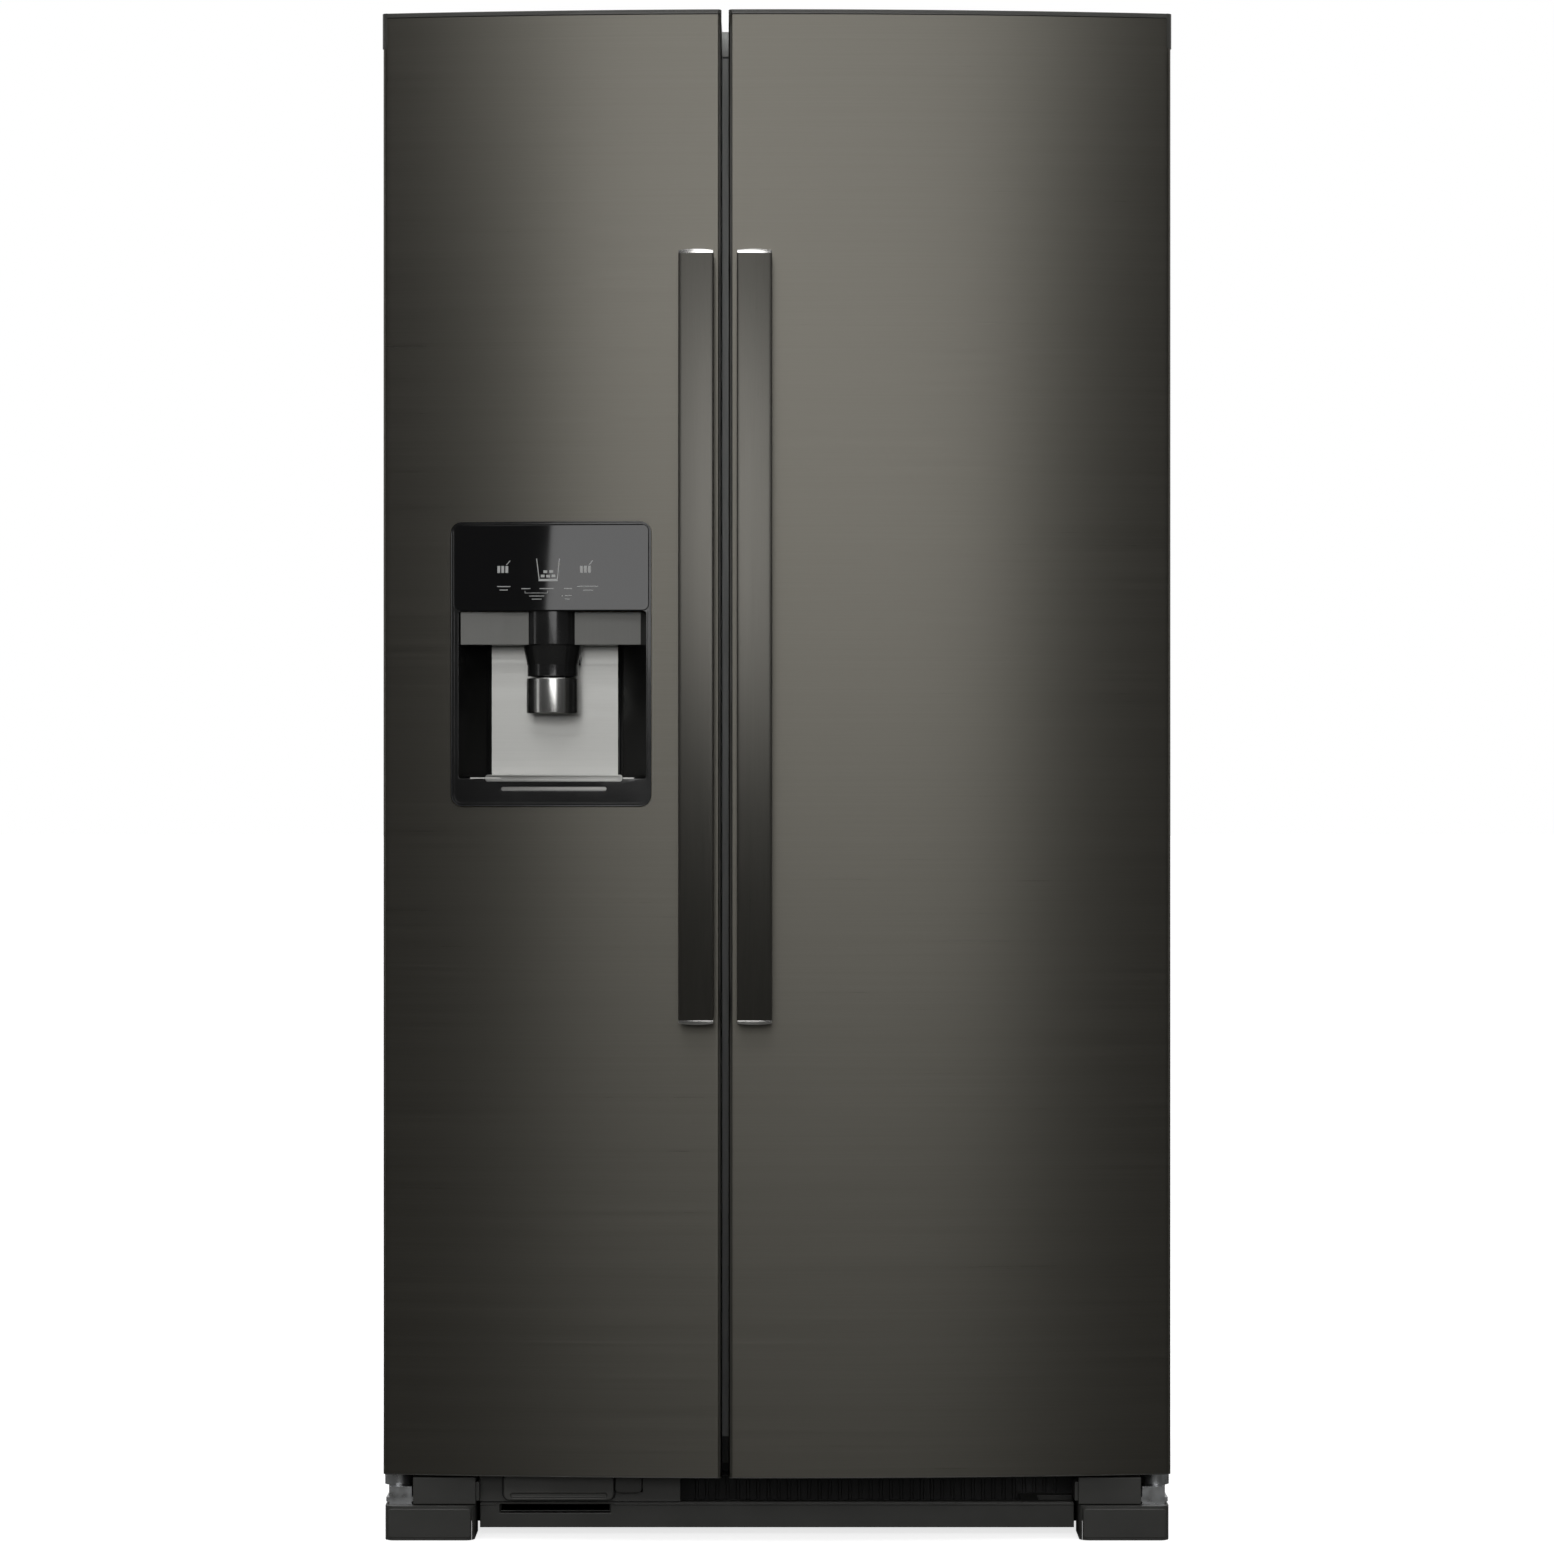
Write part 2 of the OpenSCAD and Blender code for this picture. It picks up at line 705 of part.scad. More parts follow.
// Folded door skin: front, sides and two narrow returns at the back
module door_skin(x) {
    difference() {
        union() {
            difference() {
                door_prism(x, 0, door_back_y, skin_z);
                door_prism(x, skin_t, door_back_y + 5, [skin_z[0] - 1, skin_z[1] + 1]);
            }
            for (s = [[x[0] + skin_t, x[0] + 12], [x[1] - 12, x[1] - skin_t]])
                slab([s[0], door_back_y - 0.8, skin_z[0]], [s[1], door_back_y, door_z[1]]);
        }
        above_deck(x, 9);
    }
}

// End caps of a door with pin sockets; out is the hinge side, -1 or 1
module door_caps(x, out) {
    pin = [out * pin_x, pin_y];
    skirt_x = out < 0 ? [x[0] - 1, x[0] + 13] : [x[1] - 13, x[1] + 1];
    inner = skin_t + 0.1;
    difference() {
        union() {
            door_prism(x, inner, door_back_y - 1, [door_z[1], deck_top]);
            difference() {
                union() {
                    door_prism(x, inner, door_back_y - 1, [deck_top, skin_z[1]]);
                    door_prism(x, 0, door_back_y, [skin_z[1], door_top]);
                }
                above_deck(x, 9);
            }
            translate([pin[0], pin[1], cabinet_h - 34]) cylinder(r = 10, h = 32);
            // skirt over the upper outer corner of the skin
            difference() {
                intersection() {
                    door_prism([x[0] - 1, x[1] + 1], 0, door_back_y, [door_top - 40, door_top]);
                    slab([skirt_x[0], -400, 0], [skirt_x[1], pin_y - 24, door_top]);
                }
                door_prism(x, 0, door_back_y + 5, [0, 2000]);
            }
            door_prism(x, inner, door_back_y - 1, [skin_z[0], skin_z[0] + 3]);
            door_prism(x, 0, door_back_y, [door_bottom, skin_z[0]]);
            translate([pin[0], pin[1], door_bottom]) cylinder(r = 10, h = 26);
        }
        translate([pin[0], pin[1], cabinet_h - 28]) cylinder(r = pin_r + 0.05, h = 30);
        translate([pin[0], pin[1], door_bottom - 1]) cylinder(r = pin_r + 0.05, h = 22);
    }
}

// Rubber gasket with its hollow bulb left solid
module gasket(x) {
    frame_ring(x, [deck_z + 7, cabinet_h - 8], 15, [door_back_y + 2.2, front_y - 0.4]);
}

// Notches that keep the foam clear of the pin sockets of the end caps
module pin_sockets(out) {
    for (z = [door_bottom, cabinet_h - 35])
        translate([out * pin_x, pin_y, z]) cylinder(r = 10.4, h = 36);
}

// Inner door panel with the raised ring that the bins hang in
module inner_panel(x, ring_x) {
    slab([x[0] + 1, door_back_y, door_bottom + 5], [x[1] - 1, door_back_y + 2, door_z[1] - 1]);
    frame_ring(ring_x, [space_z[0] + 8, space_z[1] - 8], 12, [door_back_y + 2, -262]);
}

// Door bin: a tray that leans on the inner panel
module door_bin(x, z, h, y_front) {
    tray([x[0], door_back_y + 2.4, z], [x[1], y_front, z + h], wall);
}

// Handle grip: a shallow bowed plate on two posts
module handle(cx) {
    x = [cx - handle_w / 2, cx + handle_w / 2];
    y0 = -overall_d / 2;
    z = [handle_z[0] + 5, handle_z[1] - 5];
    crown = 3;
    grip = concat(
        [for (i = [0:12]) let (t = i / 6 - 1) [cx + t * handle_w / 2, y0 + crown * t * t]],
        [[x[1] - 3, y0 + grip_t], [x[0] + 3, y0 + grip_t]]
    );
    translate([0, 0, z[0]]) linear_extrude(height = z[1] - z[0]) polygon(grip);
    for (pz = [[z[0], z[0] + post_h], [z[1] - post_h, z[1]]])
        slab([x[0] + 4, y0 + grip_t - 0.5, pz[0]], [x[1] - 4, bow(cx) - 0.6, pz[1]]);
}

module handle_caps(cx) {
    y0 = -overall_d / 2;
    for (z = [[handle_z[0], handle_z[0] + 5], [handle_z[1] - 5, handle_z[1]]])
        slab([cx - handle_w / 2, y0 + 0.5, z[0]], [cx + handle_w / 2, bow(cx) - 0.8, z[1]]);
}

// ---------------------------------------------------------------- freezer door

module freezer_door_skin() {
    color("DimGray") difference() {
        door_skin(freezer_door_x);
        rounded_plate(
            [bezel_x[0] - 0.3, bezel_x[1] + 0.3], [bezel_z[0] - 0.3, bezel_z[1] + 0.3],
            [-400, -320], bezel_r + 0.3
        );
    }
}

module freezer_door_caps() {
    color("SlateGray") door_caps(freezer_door_x, -1);
}

module freezer_door_foam() {
    x = freezer_door_x;
    inset = skin_t + 0.1;
    y = door_back_y - 1;
    z = [door_z[0] + 3 + gap, bezel_z[0] - 2, bezel_z[1] + 2, door_z[1] - gap];
    pocket_z = [recess_z[0] - 4, panel_z];
    boss_x = [-343, -174];
    duct_x = [spout_x - duct_half - 1, spout_x + duct_half + 1];
    color("Khaki") {
        difference() {
            union() {
                door_prism(x, inset, y, [z[0], z[1]]);
                door_prism(x, inset, y, [z[2], z[3]]);
            }
            pin_sockets(-1);
        }
        intersection() {
            door_prism(x, inset, y, [z[1] + gap, z[2] - gap]);
            slab([x[0], -400, 0], [bezel_x[0] - 2, y, 2000]);
        }
        intersection() {
            door_prism(x, inset, y, [z[1] + gap, z[2] - gap]);
            slab([bezel_x[1] + 2, -400, 0], [x[1], y, 2000]);
        }
        slab([bezel_x[0] - 1.8, -343, z[1] + gap], [bezel_x[1] + 1.8, y, pocket_z[0]]);
        translate([0, 0, pocket_z[0] + gap]) linear_extrude(height = pocket_z[1] - pocket_z[0]) {
            polygon([[bezel_x[0] - 1.8, -343], [-365.6, -343], [-344, y], [bezel_x[0] - 1.8, y]]);
            polygon([[bezel_x[1] + 1.8, -343], [-152, -343], [-173, y], [bezel_x[1] + 1.8, y]]);
        }
        slab([boss_x[0], recess_y + 3, recess_z[0] - 8], [boss_x[1], -260, panel_z - 2]);
        for (bx = [[bezel_x[0] - 1.8, duct_x[0]], [duct_x[1], bezel_x[1] + 1.8]])
            slab([bx[0], -343, pocket_z[1] + 1], [bx[1], y, z[2] - gap]);
        for (bx = [[boss_x[0], duct_x[0]], [duct_x[1], boss_x[1]]])
            slab([bx[0], y + 3.2, panel_z + gap], [bx[1], -260, 1200]);
        slab([duct_x[0] + gap, recess_y + 3, panel_z - 1.8], [duct_x[1] - gap, -260, chute_z[0]]);
        slab([duct_x[0] + gap, y + 3.2, chute_z[1] + 2.4], [duct_x[1] - gap, -260, 1200]);
    }
}

module freezer_door_liner() {
    boss = [-345, -172];
    duct = [spout_x - duct_half, spout_x + duct_half];
    color("WhiteSmoke") {
        difference() {
            union() {
                inner_panel(freezer_door_x, [freezer_x[0] + 10, freezer_x[1] - 12]);
                slab([boss[0], door_back_y + 2, 866], [boss[1], -258, 1202]);
            }
            slab([boss[0] + 2, door_back_y - 1, 868], [boss[1] - 2, -260, 1200]);
            slab([duct[0], door_back_y - 2, chute_z[0]], [duct[1], -250, chute_z[1]]);
        }
        // sloping lip that catches the ice
        for (x = [duct[0] - 2, duct[1]])
            slab([x, -258, chute_z[0] - 2], [x + 2, lip_y, 1196]);
        slab([duct[0] - 2, -258, chute_z[0] - 2], [duct[1] + 2, lip_y, chute_z[0]]);
    }
}

module freezer_gasket() {
    color("DimGray") gasket([-pin_x + 2, freezer_door_x[1] - 6]);
}

module freezer_handle() {
    color("Silver") handle(handle_x[0]);
}

module freezer_handle_caps() {
    color("White") handle_caps(handle_x[0]);
}

module freezer_door_bins() {
    color("AliceBlue", 0.6) for (z = freezer_bin_z)
        door_bin([freezer_x[0] + 23, freezer_x[1] - 35], z, 90, -186);
}

// Bezel with the tapered recess behind it
module dispenser_housing() {
    t = 2.4;
    shift = recess_y + t;
    color("DimGray") difference() {
        union() {
            intersection() {
                rounded_plate(bezel_x, bezel_z, [-400, -300], bezel_r);
                bow_band(bezel_x, [-2, 5], [bezel_z[0] - 1, bezel_z[1] + 1]);
            }
            translate([0, 0, recess_z[0] - t]) linear_extrude(height = panel_z - recess_z[0] + t)
                polygon([
                    [recess_x[0] - t + 2, bow(recess_x[0]) + 1], [recess_x[1] + t, bow(recess_x[1]) + 1],
                    [recess_back_x[1] + t, shift], [recess_back_x[0] - t, shift]
                ]);
        }
        // the mouth and the tapered recess
        translate([0, 0, recess_z[0]]) linear_extrude(height = recess_z[1] - recess_z[0])
            polygon([
                [recess_x[0] + 2, -400], [recess_x[1], -400], [recess_x[1], bow(recess_x[1])],
                [recess_back_x[1], recess_y], [recess_back_x[0], recess_y],
                [recess_x[0] + 2, bow(recess_x[0])]
            ]);
        // the shallow fascia above the mouth
        slab([recess_x[0] + 2, -400, recess_z[1] - 1], [recess_x[1], band_y, panel_z - 1]);
        // the chute behind the fascia
        slab(
            [spout_x - duct_half, band_y + t, recess_z[1] + 3],
            [spout_x + duct_half, recess_y + t + 1, panel_z + 1]
        );
        translate([spout_x, spout_y, recess_z[1] - 20]) cylinder(r = spout_r + 0.2, h = 60);
        // the seat of the touch panel
        bow_band([bezel_x[0] + 4, bezel_x[1] - 3], [-3, 2], [panel_z, bezel_z[1] - 4]);
        // the light slot under the tray
        bow_band([-316, -196], [-3, 0.5], [862, 867]);
    }
    // ears that carry the paddle's shaft
    color("DimGray") for (s = [-1, 1]) difference() {
        slab(
            [spout_x + s * 30 - 1.5, recess_y - 13, 1008],
            [spout_x + s * 30 + 1.5, recess_y + 0.5, 1022]
        );
        shaft_x([spout_x + s * 30, paddle_pivot[0], paddle_pivot[1]], 2.06, 5);
    }
}

module dispenser_panel() {
    color("Black") bow_band(
        [bezel_x[0] + 4.2, bezel_x[1] - 3.2], [-2.6, 1.8], [panel_z + 0.2, bezel_z[1] - 4.2]
    );
}

// Spout: a short tube with a funnel and the nozzle ring below it
module dispenser_spout() {
    color("Gray") translate([spout_x, spout_y, 0]) difference() {
        union() {
            translate([0, 0, recess_z[1]]) cylinder(r = spout_r, h = panel_z - recess_z[1] - 0.4);
            translate([0, 0, 1008]) cylinder(r1 = 29.5, r2 = 34, h = recess_z[1] - 1008);
            translate([0, 0, 994]) cylinder(r = 29, h = 14);
        }
        translate([0, 0, 993]) cylinder(r = 24, h = 100);
    }
}

module drip_tray() {
    z = recess_z[0];
    front = bow(-259) + 2;
    color("Silver") difference() {
        translate([0, 0, z]) linear_extrude(height = 4) polygon([
            [-356, front], [-160, front], [-190, recess_y - 6], [-328, recess_y - 6]
        ]);
        for (i = [0:10]) slab([-318 + i * 11, -345, z + 1.5], [-312 + i * 11, -300, z + 5]);
    }
}

// Collar under the spout that a glass pushes back
module dispenser_paddle() {
    z = [951.5, 992];
    color("Silver") {
        difference() {
            translate([spout_x, spout_y, z[0]]) cylinder(r = 30, h = z[1] - z[0]);
            translate([spout_x, spout_y, z[0] - 1]) cylinder(r = 26, h = z[1] - z[0] + 2);
        }
        slab([spout_x - 12, spout_y + 28, 984], [spout_x + 12, paddle_pivot[0] + 1, 991]);
        slab([spout_x - 12, paddle_pivot[0] - 1, 984], [spout_x + 12, paddle_pivot[0] + 1, paddle_pivot[1]]);
        shaft_x([spout_x, paddle_pivot[0], paddle_pivot[1]], 2, 64);
    }
}

module chute_flap() {
    color("DimGray") {
        slab([spout_x - 27, -349, 1069.8], [spout_x + 27, flap_pivot[0], 1072]);
        shaft_x([spout_x, flap_pivot[0], flap_pivot[1]], 2, 82);
    }
}

// ---------------------------------------------------------------- fridge door

module fridge_door_skin() {
    color("DimGray") door_skin(fridge_door_x);
}

module fridge_door_caps() {
    color("SlateGray") door_caps(fridge_door_x, 1);
}

module fridge_door_foam() {
    z = [door_z[0] + 3 + gap, door_z[1] - gap];
    color("Khaki") difference() {
        door_prism(fridge_door_x, skin_t + 0.1, door_back_y - 1, z);
        pin_sockets(1);
    }
}

module fridge_door_liner() {
    box = [40, 270];
    color("WhiteSmoke") {
        inner_panel(fridge_door_x, [fridge_x[0] + 12, fridge_x[1] - 10]);
        // dairy compartment, open towards its lid
        difference() {
            slab([box[0], door_back_y + 2, 1556], [box[1], lid_pivot[0] + 6, 1672]);
            slab([box[0] + 3, door_back_y + 4, 1559], [box[1] - 3, lid_pivot[0] + 7, 1669]);
            shaft_x([155, lid_pivot[0], lid_pivot[1]], 3.06, 240);
        }
    }
}

module fridge_gasket() {
    color("DimGray") gasket([fridge_door_x[0] + 6, pin_x - 2]);
}

module fridge_handle() {
    color("Silver") handle(handle_x[1]);
}

module fridge_handle_caps() {
    color("White") handle_caps(handle_x[1]);
}

module fridge_door_bins() {
    color("AliceBlue", 0.6) for (z = bin_z)
        door_bin([fridge_x[0] + 33, fridge_x[1] - 23], z, 95, -186);
}

module dairy_lid() {
    color("AliceBlue", 0.6) {
        slab([43.5, lid_pivot[0] - 1.5, 1560], [266.5, lid_pivot[0] + 1.5, lid_pivot[1]]);
        shaft_x([155, lid_pivot[0], lid_pivot[1]], 3, 230);
        slab([120, lid_pivot[0] + 1, 1562], [190, lid_pivot[0] + 8, 1566]);
    }
}

cabinet_wrapper();
rear_panel();
foam_insulation();
freezer_liner();
fridge_liner();
mullion_cover();
base_frame();
filter_housing();
machine_cover();
compressor();
condenser();
drain_pan();
evaporator();
air_covers();
door_hinges();
hinge_covers();
leg_covers();
levelling_legs();
water_valve();
cord_inlet();
shelves();
shelf_glass();
ice_maker();
fan_motors();
screws();
condenser_fan();
evaporator_fan();
front_rollers();
rear_rollers();
crisper_upper();
crisper_lower();
freezer_basket();
ice_bin();
ice_auger();
shutoff_arm();
water_filter();
filter_button();
freezer_door_skin();
freezer_door_caps();
freezer_door_foam();
freezer_door_liner();
freezer_gasket();
freezer_handle();
freezer_handle_caps();
freezer_door_bins();
dispenser_housing();
dispenser_panel();
dispenser_spout();
drip_tray();
dispenser_paddle();
chute_flap();
fridge_door_skin();
fridge_door_caps();
fridge_door_foam();
fridge_door_liner();
fridge_gasket();
fridge_handle();
fridge_handle_caps();
fridge_door_bins();
dairy_lid();
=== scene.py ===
# %% [markdown]
# # A side by side refrigerator
# The engineering model is already there: every node of it has its exact place and size.
# This script loads it as a fixed frame and dresses it. Parts whose faceted shape would show,
# such as the bowed steel doors, get a smooth piece that replaces the node. Parts whose shape
# is right keep it and only get a better finish.

# %% Load the frame
import json
from math import cos, pi, radians, sin, sqrt

import bmesh
import bpy
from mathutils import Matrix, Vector


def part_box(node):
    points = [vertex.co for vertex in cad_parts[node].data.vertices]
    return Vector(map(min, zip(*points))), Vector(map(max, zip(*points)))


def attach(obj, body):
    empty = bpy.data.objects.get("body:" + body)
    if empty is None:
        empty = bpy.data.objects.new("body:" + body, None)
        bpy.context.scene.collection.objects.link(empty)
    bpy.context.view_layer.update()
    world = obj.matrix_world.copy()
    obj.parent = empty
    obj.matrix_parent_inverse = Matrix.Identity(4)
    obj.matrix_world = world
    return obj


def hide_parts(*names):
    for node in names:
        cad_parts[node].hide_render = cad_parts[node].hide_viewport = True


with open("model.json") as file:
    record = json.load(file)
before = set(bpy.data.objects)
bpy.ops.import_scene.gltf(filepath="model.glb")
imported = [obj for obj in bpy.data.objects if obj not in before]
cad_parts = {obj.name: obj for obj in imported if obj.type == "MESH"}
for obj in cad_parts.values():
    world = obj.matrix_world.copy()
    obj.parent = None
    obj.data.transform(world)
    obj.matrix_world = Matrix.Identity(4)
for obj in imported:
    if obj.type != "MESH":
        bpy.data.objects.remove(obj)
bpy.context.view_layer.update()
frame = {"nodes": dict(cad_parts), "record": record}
scene = bpy.context.scene
MM = 0.001

# %% [markdown]
# ## Sizes
# Positions are read from the boxes of the nodes, so the dressing follows the engineering
# model when that changes. Only radii and small reveals are stated here. The front faces of
# both doors lie on one shallow bow, a circle that is 3.45 m in radius.

# %% Sizes taken from the frame
BOW_R = 3.45
RIGHT_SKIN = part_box("fridge_door_skin")
FACE_Y = RIGHT_SKIN[0].y
DOOR_BACK = RIGHT_SKIN[1].y
SKIN_T = 0.8 * MM
EDGE_R = 5 * MM
FLAT_DEPTH = DOOR_BACK - FACE_Y
DECK_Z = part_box("cabinet_wrapper")[1].z - 2 * MM
DOOR_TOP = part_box("fridge_door_caps")[1].z
DOOR_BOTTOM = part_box("fridge_door_caps")[0].z
HANDLE_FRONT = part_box("freezer_handle")[0].y
PIN_X, PIN_Y = 438.5 * MM, -310 * MM
SLIT_X = (-63.2 * MM, -55.8 * MM)
ROOF_Z = 1746 * MM
LEAF_TOP = 1750 * MM
REAR_COVER_Y = 428 * MM
print("face of the doors at y =", round(FACE_Y, 4), "top of the doors at z =", round(DOOR_TOP, 4))


def bow(x):
    """Depth of the bowed door face at x."""
    return FACE_Y + BOW_R - sqrt(BOW_R * BOW_R - x * x)


# %% [markdown]
# ## Small tools for meshes
# Most of the pieces are one of three kinds: a flat outline with a thickness, a row of rings
# joined into a skin (a loft), or a profile turned about an axis. One helper for each keeps
# the rest of the script about the refrigerator. Every helper makes closed meshes.

# %% Mesh tools
def as_object(name, mesh):
    piece = bpy.data.objects.new(name, mesh)
    scene.collection.objects.link(piece)
    return piece


def mesh_of(name, points, faces):
    mesh = bpy.data.meshes.new(name)
    mesh.from_pydata([tuple(p) for p in points], [], faces)
    shape = bmesh.new()
    shape.from_mesh(mesh)
    bmesh.ops.recalc_face_normals(shape, faces=shape.faces)
    shape.to_mesh(mesh)
    shape.free()
    return as_object(name, mesh)


def loft(name, rings):
    """Joins rings with the same number of points, and closes both ends."""
    count = len(rings[0])
    points = [p for ring in rings for p in ring]
    faces = [tuple(range(count)), tuple(range(len(points) - count, len(points)))]
    for k in range(len(rings) - 1):
        for i in range(count):
            j = (i + 1) % count
            low, high = k * count, (k + 1) * count
            faces.append((low + i, low + j, high + j, high + i))
    return mesh_of(name, points, faces)


def upright(name, outline, z0, z1):
    """Plan outline in x and y, raised from z0 to z1."""
    return loft(name, [[(x, y, z) for x, y in outline] for z in (z0, z1)])


def facing(name, outline, y0, y1):
    """Front outline in x and z, with its thickness along y."""
    return loft(name, [[(x, y, z) for x, z in outline] for y in (y0, y1)])


def box_piece(name, low, high):
    plan = [(low[0], low[1]), (high[0], low[1]), (high[0], high[1]), (low[0], high[1])]
    return upright(name, plan, low[2], high[2])


def rounded(x0, x1, z0, z1, r, steps=8):
    """Outline of a rectangle with round corners."""
    corners = [(x1 - r, z1 - r, 0), (x0 + r, z1 - r, 1), (x0 + r, z0 + r, 2), (x1 - r, z0 + r, 3)]
    return [
        (cx + r * cos((quarter + i / steps) * pi / 2),
         cz + r * sin((quarter + i / steps) * pi / 2))
        for cx, cz, quarter in corners
        for i in range(steps + 1)
    ]


def turned(name, profile, centre, steps=72):
    """Closed profile of radius and height, turned about an upright axis."""
    rings = [
        [(centre[0] + r * cos(2 * pi * k / steps), centre[1] + r * sin(2 * pi * k / steps), z)
         for r, z in profile]
        for k in range(steps)
    ]
    count = len(profile)
    points = [p for ring in rings for p in ring]
    faces = []
    for k in range(steps):
        low, high = k * count, ((k + 1) % steps) * count
        for i in range(count):
            j = (i + 1) % count
            faces.append((low + i, low + j, high + j, high + i))
    return mesh_of(name, points, faces)


def joined(name, pieces):
    """One object from several, in the order given."""
    shape = bmesh.new()
    for piece in pieces:
        shape.from_mesh(piece.data)
    mesh = bpy.data.meshes.new(name)
    shape.to_mesh(mesh)
    shape.free()
    for piece in pieces:
        bpy.data.objects.remove(piece)
    return as_object(name, mesh)


def applied(piece):
    """Turns the modifiers of a piece into plain mesh."""
    bpy.context.view_layer.update()
    evaluated = piece.evaluated_get(bpy.context.evaluated_depsgraph_get())
    mesh = bpy.data.meshes.new_from_object(evaluated)
    piece.modifiers.clear()
    piece.data = mesh
    return piece


def cut(piece, cutters, how="DIFFERENCE"):
    """Takes the cutters away from a piece, or adds them to it."""
    for cutter in cutters:
        modifier = piece.modifiers.new("cut", "BOOLEAN")
        modifier.operation = how
        modifier.solver = "EXACT"
        modifier.object = cutter
        applied(piece)
        bpy.data.objects.remove(cutter)
    return piece


def softened(piece, width=0.5 * MM, segments=2, angle=35):
    """Breaks the sharp edges, so that they catch a line of light."""
    modifier = piece.modifiers.new("edges", "BEVEL")
    modifier.width = width
    modifier.segments = segments
    modifier.limit_method = "ANGLE"
    modifier.angle_limit = radians(angle)
    modifier.use_clamp_overlap = True
    return applied(piece)


def smooth(piece, angle=40):
    """Smooth shading that keeps flat faces flat next to their rounded edges."""
    piece.data.shade_smooth()
    piece.data.set_sharp_from_angle(angle=radians(angle))
    modifier = piece.modifiers.new("normals", "WEIGHTED_NORMAL")
    modifier.keep_sharp = True
    return applied(piece)


# %% [markdown]
# ## The bow as a rule
# The doors, their end caps, the dispenser's bezel and the touch panel all follow the same
# bow. Bending each by hand invites gaps, so each is first built flat, in front of the plane
# y = 0, and one Geometry Nodes tree then pushes it onto the bow. The tree has the radius and
# the depths as named inputs. Points near the face move straight back with the bow; deeper
# points are spread out, so that the back of a door stays in one plane.

# %% The bend, as a Geometry Nodes tree
def tree(name, inputs):
    """Node tree with a geometry input and output and the named number inputs."""
    nodes = bpy.data.node_groups.new(name, "GeometryNodeTree")
    nodes.interface.new_socket("Geometry", in_out="INPUT", socket_type="NodeSocketGeometry")
    for label, kind, value in inputs:
        socket = nodes.interface.new_socket(label, in_out="INPUT", socket_type="NodeSocket" + kind)
        if value is not None:
            socket.default_value = value
    nodes.interface.new_socket("Geometry", in_out="OUTPUT", socket_type="NodeSocketGeometry")
    return nodes


def maths(nodes, operation, a, b=None):
    """A Math node; each side is a number or a socket."""
    node = nodes.nodes.new("ShaderNodeMath")
    node.operation = operation
    for slot, value in enumerate((a, b)):
        if value is None:
            continue
        if isinstance(value, (int, float)):
            node.inputs[slot].default_value = value
        else:
            nodes.links.new(value, node.inputs[slot])
    return node.outputs[0]


def finish_tree(nodes, geometry, material):
    """Ends a tree with real geometry in the given material."""
    real = nodes.nodes.new("GeometryNodeRealizeInstances")
    paint = nodes.nodes.new("GeometryNodeSetMaterial")
    out = nodes.nodes.new("NodeGroupOutput")
    nodes.links.new(geometry, real.inputs[0])
    nodes.links.new(real.outputs[0], paint.inputs["Geometry"])
    nodes.links.new(material, paint.inputs["Material"])
    nodes.links.new(paint.outputs[0], out.inputs[0])


def build_bend():
    nodes = tree("follow_the_bow", [
        ("Bow Radius", "Float", BOW_R), ("Face", "Float", FACE_Y), ("Rigid Depth", "Float", 0.01),
        ("Flat Depth", "Float", FLAT_DEPTH), ("Back", "Float", DOOR_BACK),
                                    ("Material", "Material", None),
    ])
    new, link = nodes.nodes.new, nodes.links.new
    given = new("NodeGroupInput").outputs
    split = new("ShaderNodeSeparateXYZ")
    link(new("GeometryNodeInputPosition").outputs[0], split.inputs[0])
    x, y, z = split.outputs
    radius = given["Bow Radius"]
    drop = maths(nodes, "SQRT", maths(
        nodes, "SUBTRACT", maths(nodes, "MULTIPLY", radius, radius),
                                      maths(nodes, "MULTIPLY", x, x)))
    face = maths(nodes, "ADD", given["Face"], maths(nodes, "SUBTRACT", radius, drop))
    near = maths(nodes, "ADD", face, maths(nodes, "MINIMUM", y, given["Rigid Depth"]))
    spread = new("ShaderNodeMapRange")
    link(y, spread.inputs["Value"])
    link(given["Rigid Depth"], spread.inputs["From Min"])
    link(given["Flat Depth"], spread.inputs["From Max"])
    far = maths(nodes, "SUBTRACT", given["Back"], near)
    depth = maths(nodes, "ADD", near, maths(nodes, "MULTIPLY", far, spread.outputs[0]))
    place = new("ShaderNodeCombineXYZ")
    link(x, place.inputs[0])
    link(depth, place.inputs[1])
    link(z, place.inputs[2])
    move = new("GeometryNodeSetPosition")
    link(given["Geometry"], move.inputs["Geometry"])
    link(place.outputs[0], move.inputs["Position"])
    finish_tree(nodes, move.outputs[0], given["Material"])
    return nodes


BEND = build_bend()
print("bend tree:", len(BEND.nodes), "nodes")


# %% [markdown]
# A flat piece needs enough edges to bend. Slicing it at equal steps along x adds exactly the
# edges that the bow needs and none across.

# %% Use of the bend
def grown(piece, nodes, values):
    """Runs a tree on a piece with the given named inputs, and keeps the plain mesh."""
    modifier = piece.modifiers.new(nodes.name, "NODES")
    modifier.node_group = nodes
    for item in nodes.interface.items_tree:
        if item.item_type == "SOCKET" and item.in_out == "INPUT" and item.name in values:
            modifier[item.identifier] = values[item.name]
    return applied(piece)


